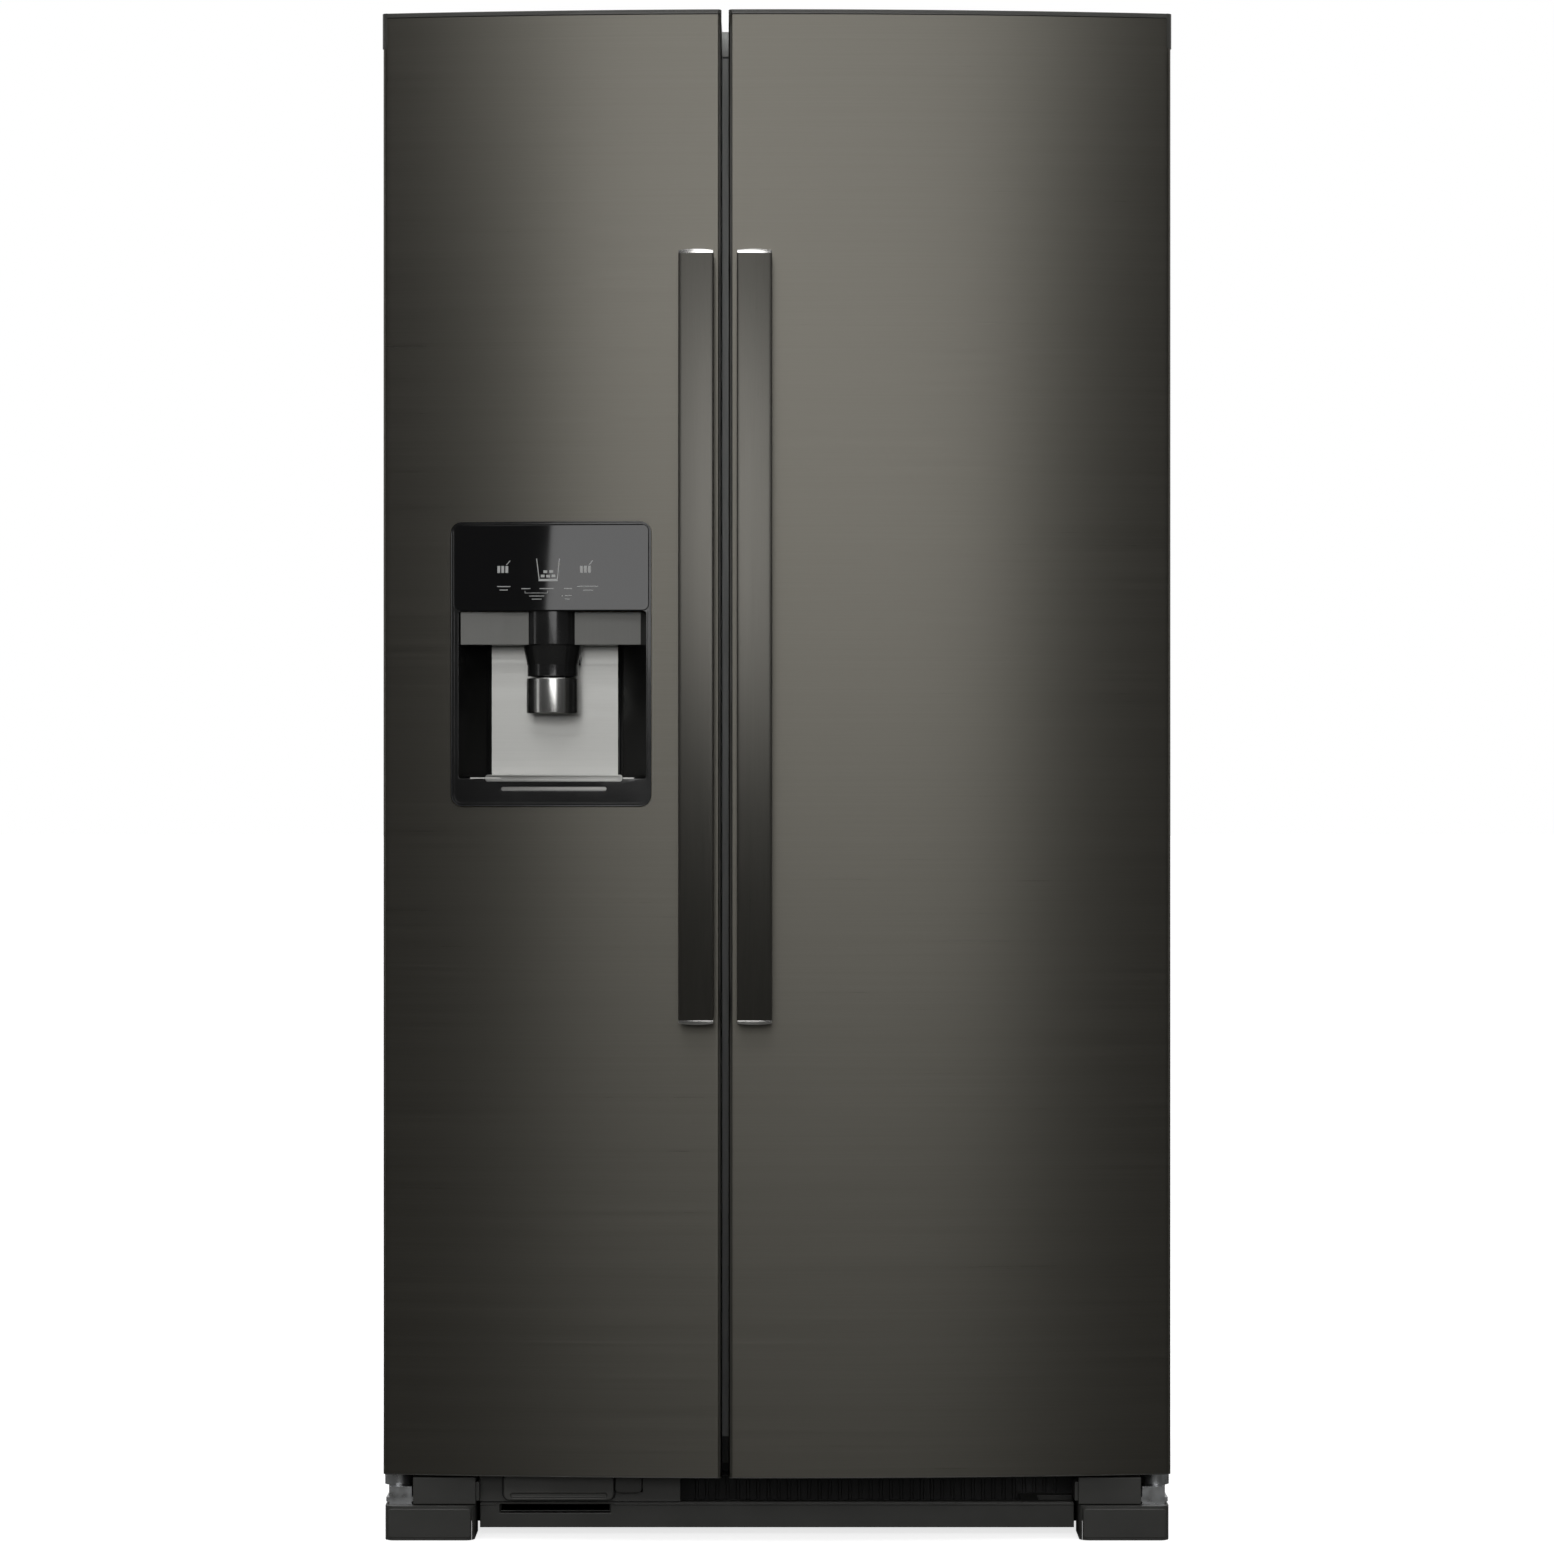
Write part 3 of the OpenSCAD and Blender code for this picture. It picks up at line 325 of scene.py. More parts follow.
def bent(piece, material, step=9 * MM, back=True):
    """Slices a flat piece across x and lays it on the bow."""
    shape = bmesh.new()
    shape.from_mesh(piece.data)
    xs = [v.co.x for v in shape.verts]
    lowest, highest = min(xs), max(xs)
    count = max(2, int((highest - lowest) / step))
    for i in range(1, count):
        at = lowest + (highest - lowest) * i / count
        bmesh.ops.bisect_plane(
            shape, geom=shape.verts[:] + shape.edges[:] + shape.faces[:], dist=1e-7,
            plane_co=(at, 0, 0), plane_no=(1, 0, 0))
    shape.to_mesh(piece.data)
    shape.free()
    values = {"Material": material} if back else {
        "Material": material, "Rigid Depth": 1.0, "Flat Depth": 2.0}
    return grown(piece, BEND, values)


# %% [markdown]
# ## Effects that several finishes share
# Brushed streaks, slow unevenness, a fine moulded grain, rubbed edges and settled dust turn up
# on many surfaces here. Each is a shader node group that puts out plain values, so a material
# stays short and every effect has one place to be tuned. The edge group also rounds the
# normals, which gives the exact but knife-sharp engineering nodes a believable edge.

# %% Shared shader groups
def group(name, inputs, outputs):
    nodes = bpy.data.node_groups.new(name, "ShaderNodeTree")
    for label, kind, value in inputs:
        socket = nodes.interface.new_socket(label, in_out="INPUT", socket_type="NodeSocket" + kind)
        if value is not None:
            socket.default_value = value
    for label, kind in outputs:
        nodes.interface.new_socket(label, in_out="OUTPUT", socket_type="NodeSocket" + kind)
    given, out = nodes.nodes.new("NodeGroupInput"), nodes.nodes.new("NodeGroupOutput")
    return nodes, given.outputs, out.inputs


def noise_in(nodes, vector, scale, detail, rough=0.5):
    noise = nodes.nodes.new("ShaderNodeTexNoise")
    noise.inputs["Detail"].default_value = detail
    noise.inputs["Roughness"].default_value = rough
    nodes.links.new(vector, noise.inputs["Vector"])
    if isinstance(scale, (int, float)):
        noise.inputs["Scale"].default_value = scale
    else:
        nodes.links.new(scale, noise.inputs["Scale"])
    return noise.outputs["Fac"]


def stretched(nodes, vector, scale):
    node = nodes.nodes.new("ShaderNodeVectorMath")
    node.operation = "MULTIPLY"
    nodes.links.new(vector, node.inputs[0])
    nodes.links.new(scale, node.inputs[1])
    return node.outputs[0]


def build_streaks():
    nodes, given, out = group(
        "brushed_streaks", [("Vector", "Vector", None), ("Scale", "Vector", (4, 4, 700))],
        [("Streak", "Float")])
    across = stretched(nodes, given["Vector"], given["Scale"])
    fine = noise_in(nodes, across, 1.0, 4, 0.7)
    broad = noise_in(nodes, across, 0.22, 2)
    mixed = maths(nodes, "ADD", maths(nodes, "MULTIPLY", fine, 0.7),
                  maths(nodes, "MULTIPLY", broad, 0.3))
    nodes.links.new(mixed, out["Streak"])
    return nodes


def build_uneven():
    nodes, given, out = group(
        "slow_unevenness", [("Vector", "Vector", None), ("Scale", "Float", 6)],
                              [("Value", "Float")])
    nodes.links.new(noise_in(nodes, given["Vector"], given["Scale"], 3, 0.55), out["Value"])
    return nodes


def build_grain():
    nodes, given, out = group(
        "moulded_grain", [("Vector", "Vector", None), ("Scale", "Float", 900)],
                              [("Height", "Float")])
    pits = nodes.nodes.new("ShaderNodeTexVoronoi")
    nodes.links.new(given["Vector"], pits.inputs["Vector"])
    nodes.links.new(given["Scale"], pits.inputs["Scale"])
    waves = noise_in(nodes, given["Vector"], given["Scale"], 2)
    mixed = maths(nodes, "ADD", maths(nodes, "MULTIPLY", pits.outputs["Distance"], 0.5), waves)
    nodes.links.new(mixed, out["Height"])
    return nodes


def build_edges():
    nodes, given, out = group(
        "rubbed_edges", [("Radius", "Float", 0.0008)], [("Mask", "Float"), ("Normal", "Vector")])
    rounded_normal = nodes.nodes.new("ShaderNodeBevel")
    rounded_normal.samples = 4
    nodes.links.new(given["Radius"], rounded_normal.inputs["Radius"])
    flat = nodes.nodes.new("ShaderNodeNewGeometry")
    dot = nodes.nodes.new("ShaderNodeVectorMath")
    dot.operation = "DOT_PRODUCT"
    nodes.links.new(rounded_normal.outputs[0], dot.inputs[0])
    nodes.links.new(flat.outputs["Normal"], dot.inputs[1])
    mask = nodes.nodes.new("ShaderNodeMapRange")
    mask.inputs["From Min"].default_value = 0.995
    mask.inputs["From Max"].default_value = 0.75
    nodes.links.new(dot.outputs["Value"], mask.inputs["Value"])
    nodes.links.new(mask.outputs[0], out["Mask"])
    nodes.links.new(rounded_normal.outputs[0], out["Normal"])
    return nodes


def build_dust():
    nodes, given, out = group(
        "settled_dust", [("Vector", "Vector", None), ("Amount", "Float", 0.2)],
                              [("Mask", "Float")])
    flat = nodes.nodes.new("ShaderNodeNewGeometry")
    split = nodes.nodes.new("ShaderNodeSeparateXYZ")
    nodes.links.new(flat.outputs["Normal"], split.inputs[0])
    level = nodes.nodes.new("ShaderNodeMapRange")
    level.inputs["From Min"].default_value = 0.6
    nodes.links.new(split.outputs[2], level.inputs["Value"])
    specks = noise_in(nodes, given["Vector"], 45, 6, 0.75)
    laid = maths(nodes, "MULTIPLY", level.outputs[0], specks)
    nodes.links.new(maths(nodes, "MULTIPLY", laid, given["Amount"]), out["Mask"])
    return nodes


GROUPS = {
    "streaks": build_streaks(), "uneven": build_uneven(), "grain": build_grain(),
    "edges": build_edges(), "dust": build_dust(),
}
print("shader groups:", ", ".join(g.name for g in GROUPS.values()))


# %% [markdown]
# ## One recipe for a finish
# A finish starts from a colour and a roughness. Two nearby tones are mixed by the brushing or
# by the slow unevenness, rubbed edges and dust are laid over them, and the same values move
# the roughness and a very low bump. What stays the same all over the surface, such as metallic
# or coat, is set on the shader's own sockets.

# %% The recipe
SLOT_FINISH = {}


def finish(slot, colour, rough, tone=0.08, spread=0.05, streak=None, uneven=6, grain=None,
           bump=0.0, edge=0.0, edge_gain=1.6, dust=0.0, **constants):
    paint = bpy.data.materials.new(slot)
    paint.use_nodes = True
    nodes = paint.node_tree
    shader = nodes.nodes["Principled BSDF"]
    place = nodes.nodes.new("ShaderNodeTexCoord").outputs["Object"]

    def effect(kind, **values):
        node = nodes.nodes.new("ShaderNodeGroup")
        node.node_tree = GROUPS[kind]
        if "Vector" in node.inputs:
            nodes.links.new(place, node.inputs["Vector"])
        for label, value in values.items():
            node.inputs[label].default_value = value
        return node.outputs

    def blend_colour(factor, a, b):
        mix = nodes.nodes.new("ShaderNodeMix")
        mix.data_type = "RGBA"
        nodes.links.new(factor, mix.inputs["Factor"])
        for name, value in (("A", a), ("B", b)):
            socket = [s for s in mix.inputs if s.name == name and s.type == "RGBA"][0]
            if isinstance(value, tuple):
                socket.default_value = value
            else:
                nodes.links.new(value, socket)
        return [s for s in mix.outputs if s.type == "RGBA"][0]

    def shade(gain):
        return tuple(min(1, c * gain) for c in colour) + (1,)

    slow = effect("uneven", Scale=uneven)["Value"]
    pattern = effect("streaks", Scale=streak)["Streak"] if streak else slow
    spread_tone = nodes.nodes.new("ShaderNodeMapRange")
    spread_tone.inputs["From Min"].default_value = 0.25
    spread_tone.inputs["From Max"].default_value = 0.75
    nodes.links.new(pattern, spread_tone.inputs["Value"])
    base = blend_colour(spread_tone.outputs[0], shade(1 - tone), shade(1 + tone))
    if edge:
        rubbed = effect("edges", Radius=edge)
        worn = maths(nodes, "MULTIPLY", rubbed["Mask"], slow)
        base = blend_colour(worn, base, shade(edge_gain))
        nodes.links.new(rubbed["Normal"], shader.inputs["Normal"])
    if dust:
        base = blend_colour(effect("dust", Amount=dust)["Mask"], base, (0.42, 0.40, 0.37, 1))
    nodes.links.new(base, shader.inputs["Base Color"])
    gloss = nodes.nodes.new("ShaderNodeMapRange")
    gloss.inputs["From Min"].default_value = 0.3
    gloss.inputs["From Max"].default_value = 0.7
    gloss.inputs["To Min"].default_value = max(0.02, rough - spread)
    gloss.inputs["To Max"].default_value = min(1, rough + spread)
    nodes.links.new(pattern if streak else slow, gloss.inputs["Value"])
    nodes.links.new(gloss.outputs[0], shader.inputs["Roughness"])
    if bump:
        relief = nodes.nodes.new("ShaderNodeBump")
        relief.inputs["Strength"].default_value = bump
        relief.inputs["Distance"].default_value = 0.0003
        height = pattern if streak else effect("grain", Scale=grain or 900)["Height"]
        nodes.links.new(height, relief.inputs["Height"])
        if edge:
            nodes.links.new(rubbed["Normal"], relief.inputs["Normal"])
        nodes.links.new(relief.outputs[0], shader.inputs["Normal"])
    for label, value in constants.items():
        shader.inputs[label.replace("_", " ")].default_value = value
    SLOT_FINISH[slot] = paint
    return paint


def along_grain(paint, turn):
    """Stretches the highlights of a brushed metal across its grain."""
    nodes = paint.node_tree
    shader = nodes.nodes["Principled BSDF"]
    way = nodes.nodes.new("ShaderNodeTangent")
    way.direction_type = "RADIAL"
    way.axis = "Z"
    shader.inputs["Anisotropic"].default_value = 0.75
    shader.inputs["Anisotropic Rotation"].default_value = turn
    nodes.links.new(way.outputs[0], shader.inputs["Tangent"])
    return paint


# %% [markdown]
# ## Steels
# The doors are a dark, warm stainless steel, brushed from side to side. Its highlight is a
# tall soft column, because a brushed surface smears light across its scratches. The handles
# are brushed from end to end, so their highlight lies the other way. The shader's anisotropy,
# turned by a quarter for the doors, gives both.

# %% Steels
along_grain(finish(
    "door_steel", (0.128, 0.122, 0.106), 0.30, tone=0.07, spread=0.03, streak=(3, 3, 620),
    bump=0.04, Metallic=1.0), 0.25)
along_grain(finish(
    "handle_steel", (0.111, 0.107, 0.096), 0.30, tone=0.08, spread=0.03, streak=(700, 700, 3),
    bump=0.05, Metallic=1.0), 0.0)
finish("handle_chrome", (0.70, 0.69, 0.67), 0.15, tone=0.02, spread=0.02, uneven=40, Metallic=1.0)
along_grain(finish(
    "paddle_chrome", (0.60, 0.60, 0.58), 0.17, tone=0.05, spread=0.04, streak=(500, 500, 3),
    bump=0.03, Metallic=1.0), 0.0)
along_grain(finish(
    "tray_steel", (0.40, 0.40, 0.385), 0.32, tone=0.06, spread=0.05, streak=(5, 5, 520),
    bump=0.04, Metallic=1.0), 0.25)
finish("mullion_steel", (0.42, 0.425, 0.415), 0.42, tone=0.06, streak=(400, 400, 4), edge=0.0006,
       Metallic=0.4)
finish("galvanised_steel", (0.46, 0.47, 0.48), 0.50, tone=0.05, spread=0.04, uneven=26,
       grain=300, bump=0.05, edge=0.0005, Metallic=0.9)
finish("hinge_steel", (0.50, 0.51, 0.52), 0.34, tone=0.10, spread=0.10, uneven=90, edge=0.0006,
       grain=500, bump=0.10, Metallic=1.0)
finish("screw_steel", (0.56, 0.56, 0.55), 0.28, tone=0.08, spread=0.08, uneven=200, Metallic=1.0)
finish("motor_steel", (0.19, 0.19, 0.20), 0.45, tone=0.12, uneven=50, edge=0.0006, dust=0.3,
       grain=600, bump=0.1, Metallic=0.6)
finish("evaporator_aluminium", (0.70, 0.71, 0.72), 0.36, tone=0.08, spread=0.1, uneven=30,
       Metallic=1.0)
print("steels done")

# %% [markdown]
# Painted sheet and castings get a fine orange peel and a little wear and dust. The cabinet's
# sides are a dark grey baked enamel with a pebbled texture that hides finger marks.

# %% Paints
finish("cabinet_paint", (0.052, 0.052, 0.049), 0.46, tone=0.06, spread=0.05, uneven=5, grain=420,
       bump=0.22, edge=0.0007, edge_gain=1.8, dust=0.10, Coat_Weight=0.05)
finish("base_steel", (0.074, 0.074, 0.069), 0.42, tone=0.10, uneven=14, grain=700, bump=0.10,
       edge=0.0008, edge_gain=2.2, dust=0.10)
finish("compressor_paint", (0.016, 0.016, 0.016), 0.28, tone=0.15, uneven=22, grain=260,
       bump=0.16, edge=0.001, edge_gain=3.0, dust=0.5, Coat_Weight=0.3)

# %% [markdown]
# ## Plastics and rubber
# Dark parts near the floor have a fine moulded grain, the dispenser is a glossy black, and the
# inside of the cabinet is a white thermoformed liner with a slight waviness. Subsurface light
# keeps the white plastics from looking like painted plaster.

# %% Plastics
finish("dark_plastic", (0.062, 0.062, 0.058), 0.44, tone=0.10, uneven=18, grain=1100, bump=0.14,
       edge=0.0007, edge_gain=2.2, dust=0.06)
finish("base_grey_plastic", (0.085, 0.085, 0.080), 0.46, tone=0.08, uneven=18, grain=1100,
       bump=0.12, edge=0.0007, edge_gain=2.0, dust=0.05)
finish("black_plastic", (0.014, 0.014, 0.014), 0.40, tone=0.15, uneven=20, grain=900, bump=0.12,
       edge=0.0007, edge_gain=2.5, dust=0.25)
finish("roller_plastic", (0.045, 0.045, 0.045), 0.50, tone=0.15, uneven=40, grain=700, bump=0.15,
       edge=0.001, edge_gain=1.8, dust=0.4)
finish("pan_plastic", (0.085, 0.085, 0.082), 0.50, tone=0.10, uneven=16, grain=900, bump=0.12,
       edge=0.0007, dust=0.3)
finish("valve_plastic", (0.66, 0.68, 0.70), 0.34, tone=0.05, uneven=30, edge=0.0006, grain=800,
       bump=0.05, Subsurface_Weight=0.05)
finish("liner_plastic", (0.84, 0.85, 0.84), 0.30, tone=0.01, spread=0.04, uneven=7, grain=600,
       bump=0.03, Subsurface_Weight=0.04)
finish("shelf_plastic", (0.78, 0.79, 0.80), 0.27, tone=0.02, spread=0.05, uneven=12, grain=500,
       bump=0.04, edge=0.001, edge_gain=1.05, Subsurface_Weight=0.05)
finish("filter_plastic", (0.092, 0.092, 0.086), 0.40, tone=0.08, uneven=20, grain=1100, bump=0.10,
       edge=0.0007, edge_gain=1.8)
finish("cap_plastic", (0.060, 0.059, 0.053), 0.34, tone=0.06, uneven=20, grain=1200, bump=0.05,
       Coat_Weight=0.2)
finish("dispenser_plastic", (0.010, 0.010, 0.010), 0.16, tone=0.15, spread=0.04, uneven=16,
       grain=1400, bump=0.02, Coat_Weight=0.3)
finish("dispenser_dark", (0.016, 0.016, 0.016), 0.20, tone=0.12, spread=0.05, uneven=30,
       grain=1400, bump=0.02, Coat_Weight=0.2)
finish("gasket_rubber", (0.075, 0.075, 0.074), 0.62, tone=0.12, uneven=30, grain=900, bump=0.2,
       edge=0.002, edge_gain=1.3)
finish("foam", (0.62, 0.50, 0.27), 0.9, tone=0.16, spread=0.05, uneven=25, grain=260, bump=0.6)
print("plastics done")

# %% [markdown]
# ## Clear materials
# The drawers and the door bins are clear plastic, the shelves are toughened glass with a
# greenish body, and the touch panel is a sheet of black glass. Transmission is a plain number
# on the shader, with a low roughness that varies a little where hands have been.

# %% Clear materials
finish("clear_plastic", (0.90, 0.94, 0.96), 0.07, tone=0.02, spread=0.04, uneven=14,
       Transmission_Weight=0.86, IOR=1.46)
finish("shelf_glass", (0.88, 0.96, 0.93), 0.03, tone=0.01, spread=0.02, uneven=10,
       Transmission_Weight=1.0, IOR=1.50)
finish("panel_gloss", (0.0045, 0.0045, 0.005), 0.035, tone=0.10, spread=0.015, uneven=9,
       Coat_Weight=0.0, IOR=1.52)
missing = {p["material_slot"] for p in frame["record"]["subparts"]} - set(SLOT_FINISH)
print("slots without a finish:", sorted(missing))


# %% [markdown]
# ## Every node gets its finish
# Nodes that stay visible keep their exact shape. Only the material in their slot changes.

# %% Dress the nodes that stay
for part in frame["record"]["subparts"]:
    node = frame["nodes"][part["node"]]
    for holder in node.material_slots:
        holder.material = SLOT_FINISH[part["material_slot"]]


def placed(piece, body, slot, *nodes):
    """Gives a finished piece its material, its body and the nodes that it stands for."""
    piece.data.materials.clear()
    piece.data.materials.append(SLOT_FINISH[slot])
    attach(piece, body)
    if nodes:
        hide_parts(*nodes)
    print(f"{piece.name}: {len(piece.data.polygons)} faces")
    return piece


# %% [markdown]
# ## Door skins
# A door skin is one sheet of steel, folded: a bowed front with rounded vertical edges, two
# sides and two narrow returns at the back. Its plan is a single closed outline, raised to the
# door's height. The dispenser's opening is cut while the sheet is still flat, and the bend
# comes last, so the opening's edges follow the bow by themselves.

# %% Plan outlines
def front_plan(x0, x1, inset, depth, r=EDGE_R, steps=8):
    """Rounded front corners and straight sides, back to the given depth."""
    r = r - inset
    left = [(x0 + inset + r - r * cos(k * pi / 2 / steps), inset + r - r * sin(k * pi / 2 / steps))
            for k in range(steps + 1)]
    right = [(x0 + x1 - x, y) for x, y in reversed(left)]
    return [(x0 + inset, depth)] + left + right + [(x1 - inset, depth)]


def skin_plan(x0, x1):
    fold = 12 * MM
    outer = front_plan(x0, x1, 0, FLAT_DEPTH)
    inner = front_plan(x0, x1, SKIN_T, FLAT_DEPTH - SKIN_T)
    return (
        [(x0 + fold, FLAT_DEPTH)] + outer + [(x1 - fold, FLAT_DEPTH)]
        + [(x1 - fold, FLAT_DEPTH - SKIN_T)] + inner[::-1] + [(x0 + fold, FLAT_DEPTH - SKIN_T)]
    )


# %% Two door skins
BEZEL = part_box("dispenser_housing")
BEZEL_R = 13 * MM
LIP_DEPTH = 9 * MM


def door_skin(name, body, node, opening):
    low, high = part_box(node)
    sheet = upright(name, skin_plan(low.x, high.x), low.z, high.z)
    deck = box_piece("deck_cut", (low.x - 0.01, LIP_DEPTH, DECK_Z), (high.x + 0.01, 0.2, 2.0))
    cutters = [deck]
    if opening:
        gap = 0.3 * MM
        hole = rounded(BEZEL[0].x - gap, BEZEL[1].x + gap, BEZEL[0].z - gap, BEZEL[1].z + gap,
                       BEZEL_R + gap)
        cutters.append(facing("hole_cut", hole, -0.01, 0.03))
    cut(sheet, cutters)
    return placed(smooth(bent(sheet, SLOT_FINISH["door_steel"])), body, "door_steel", node)


door_skin("freezer_door_front", "freezer_door", "freezer_door_skin", True)
door_skin("fridge_door_front", "fridge_door", "fridge_door_skin", False)

# %% [markdown]
# ## End caps
# Moulded caps close each door at the top and bottom. The top one shows as a thin lip above a
# dark joint line, with a narrow skirt round the outer corner. Lip, neck, deck and foot are
# plain layers with their edges broken, and the shadow line between skin and lip is a real gap.

# %% Door caps
def door_caps(name, body, node, skin_node, outer_left):
    skin_low, skin_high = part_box(skin_node)
    x0, x1 = skin_low.x, skin_high.x
    skirt_end, proud = 8.4 * MM, 1 * MM
    lip = softened(upright("lip", front_plan(x0, x1, 0, LIP_DEPTH), skin_high.z + 0.7 * MM,
                           DOOR_TOP),
                   0.7 * MM)
    neck = upright("neck", front_plan(x0, x1, 2 * MM, LIP_DEPTH), DECK_Z - MM, skin_high.z + MM)
    deck = softened(upright("deck", front_plan(x0, x1, MM, FLAT_DEPTH - MM), DECK_Z - 4 * MM,
                            DECK_Z),
                    0.6 * MM)
    foot = softened(upright("foot", front_plan(x0, x1, 0, FLAT_DEPTH), DOOR_BOTTOM,
                            skin_low.z - 0.3 * MM),
                    0.4 * MM)
    plug = upright("plug", front_plan(x0, x1, MM, FLAT_DEPTH - MM), skin_low.z - 0.5 * MM,
                   skin_low.z + 3 * MM)
    arc = front_plan(x0, x1, 0, skirt_end)[:10]
    outside = [(x - proud if i < 2 else x - proud * (1 - (i - 1) / 8), y) for i,
               (x, y) in enumerate(arc)]
    crescent = outside + arc[:-1][::-1]
    if not outer_left:
        crescent = [(x0 + x1 - x, y) for x, y in crescent]
    skirt = softened(upright("skirt", crescent, DOOR_TOP - 40 * MM, DOOR_TOP), 0.25 * MM)
    piece = joined(name, [lip, neck, deck, foot, plug, skirt])
    return placed(smooth(bent(piece, SLOT_FINISH["cap_plastic"])), body, "cap_plastic", node)


door_caps("freezer_door_trim", "freezer_door", "freezer_door_caps", "freezer_door_skin", True)
door_caps("fridge_door_trim", "fridge_door", "fridge_door_caps", "fridge_door_skin", False)

# %% [markdown]
# ## Handles
# Each handle is a long extruded bar on two posts. Its front is crowned: highest along the slit
# between the doors and falling away to the outside, and the whole bar is bowed by a few
# millimetres from end to end. That is why its light runs out smoothly towards both ends. Rings
# of the same section, moved along the bow, are joined into a loft.

# %% Handle bars
CROWN = 2 * MM
CAP_CROWN = 3.4 * MM
SAG = 7.5 * MM
SAG_TOP = 10 * MM


def handle_sag(z, low_z, high_z):
    middle = (low_z + high_z) / 2
    deep = SAG if z < middle else SAG_TOP
    return deep * abs((z - middle) / (high_z - middle)) ** 2


def handle(name, body, node, cap_node, slit_on_right):
    low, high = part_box(node)
    cap_low, cap_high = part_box(cap_node)
    width, thick, edge = high.x - low.x, 16 * MM, 1.5 * MM
    steps = 14

    def across(u):
        return high.x - width * u if slit_on_right else low.x + width * u

    def front(u):
        return HANDLE_FRONT + CROWN * u * u

    section = [(across(0), front(0) + edge), (across(0.012), front(0) + 0.4 * edge)]
    section += [(across(0.04 + 0.92 * i / steps),
                 front(0.04 + 0.92 * i / steps)) for i in range(steps + 1)]
    section += [(across(0.988), front(1) + 0.4 * edge), (across(1), front(1) + edge)]
    back = HANDLE_FRONT + thick
    section += [(across(1), back - 4 * MM), (across(0.93), back), (across(0.07), back),
                (across(0), back - 4 * MM)]
    rings = []
    for k in range(41):
        z = low.z + (high.z - low.z) * k / 40
        sag = handle_sag(z, low.z, high.z)
        rings.append([(x, y + sag, z) for x, y in section])
    parts = [loft("grip", rings)]
    centre = (low.x + high.x) / 2
    post_h = 34 * MM
    for z0, z1 in ((low.z, low.z + post_h), (high.z - post_h, high.z)):
        plan = rounded(low.x + 4 * MM, high.x - 4 * MM, back + 2 * MM, bow(centre) - 0.6 * MM,
                       2 * MM, 4)
        parts.append(softened(upright("post", plan, z0, z1), 0.8 * MM))
    bar = joined(name, parts)
    placed(smooth(bar, 35), body, "handle_steel", node)

    # bright end caps, with an arched outer edge
    caps = []
    for sign, inner_z, outer_z in ((-1, low.z, cap_low.z), (1, high.z, cap_high.z)):
        rings = []
        for i in range(25):
            u = 0.004 + 0.992 * i / 24
            x = across(u)
            end = outer_z - sign * 1.4 * MM * (2 * u - 1) ** 2
            y0 = HANDLE_FRONT + CAP_CROWN * u * u + handle_sag(inner_z, low.z, high.z) - 0.4 * MM
            y1 = bow(x) - 0.8 * MM
            rings.append([(x, y0, inner_z), (x, y0, end), (x, y1, end), (x, y1, inner_z)])
        caps.append(softened(loft("cap", rings), 0.5 * MM))
    placed(smooth(joined(name + "_ends", caps)), body, "handle_chrome", cap_node)


handle("freezer_handle_bar", "freezer_door", "freezer_handle", "freezer_handle_caps", True)
handle("fridge_handle_bar", "fridge_door", "fridge_handle", "fridge_handle_caps", False)

# %% [markdown]
# ## The dispenser
# A glossy bezel frames two openings: the touch panel above, and the recess for a glass below.
# Its border is a step with two raised lines that catch the light. It is cut from a flat plate
# and then bent, like the door it sits in. A pale strip sits in the slot near its foot.

# %% Bezel
MOUTH_X = (-366 * MM, -150 * MM)
MOUTH_Z = (876 * MM, 1068 * MM)
CEILING = 1030 * MM
BAND_Y = -350 * MM
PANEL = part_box("dispenser_panel")


def inset_outline(margin):
    return rounded(BEZEL[0].x + margin, BEZEL[1].x - margin, BEZEL[0].z + margin,
                   BEZEL[1].z - margin,
                   BEZEL_R - margin)


def border(name, outer, inner, y0, y1, top=None):
    """Raised line between two margins of the bezel."""
    ring = cut(facing(name, inset_outline(outer), y0, y1),
               [facing("inside", inset_outline(inner), -1, 1)])
    if top:
        cut(ring, [box_piece("above", (-1, -1, top), (1, 1, 2))])
    return softened(ring, 0.3 * MM)


def bezel():
    plate = facing("plate", inset_outline(0.4 * MM), -1.0 * MM, 4 * MM)
    gap = 0.3 * MM
    seat = rounded(PANEL[0].x - gap, PANEL[1].x + gap, PANEL[0].z - gap, PANEL[1].z + gap, 7 * MM)
    mouth = rounded(MOUTH_X[0], MOUTH_X[1], MOUTH_Z[0], MOUTH_Z[1], 3 * MM)
    slot = rounded(-317 * MM, -195 * MM, 861.8 * MM, 867.2 * MM, 2.4 * MM)
    cut(plate, [facing("seat", seat, -1, 2 * MM), facing("mouth", mouth, -1, 1),
                facing("slot", slot, -1, 2.2 * MM)])
    parts = [
        softened(plate, 0.45 * MM),
        border("rim", 0, 1.5 * MM, -2.0 * MM, 0.5 * MM),
        border("line", 3.4 * MM, 4.4 * MM, -1.7 * MM, 0, top=MOUTH_Z[1]),
    ]
    piece = smooth(bent(joined("dispenser_bezel", parts), SLOT_FINISH["dispenser_plastic"],
                        back=False))
    return placed(piece, "freezer_door", "dispenser_plastic", "dispenser_housing")


bezel()

# %% [markdown]
# The recess tapers towards a satin steel plate, so that water and light gather at the glass.
# Its walls are one shell with rounded inner corners. The fascia above the mouth stands back
# from the door and is pierced by the spout, and two small ears carry the paddle's shaft.

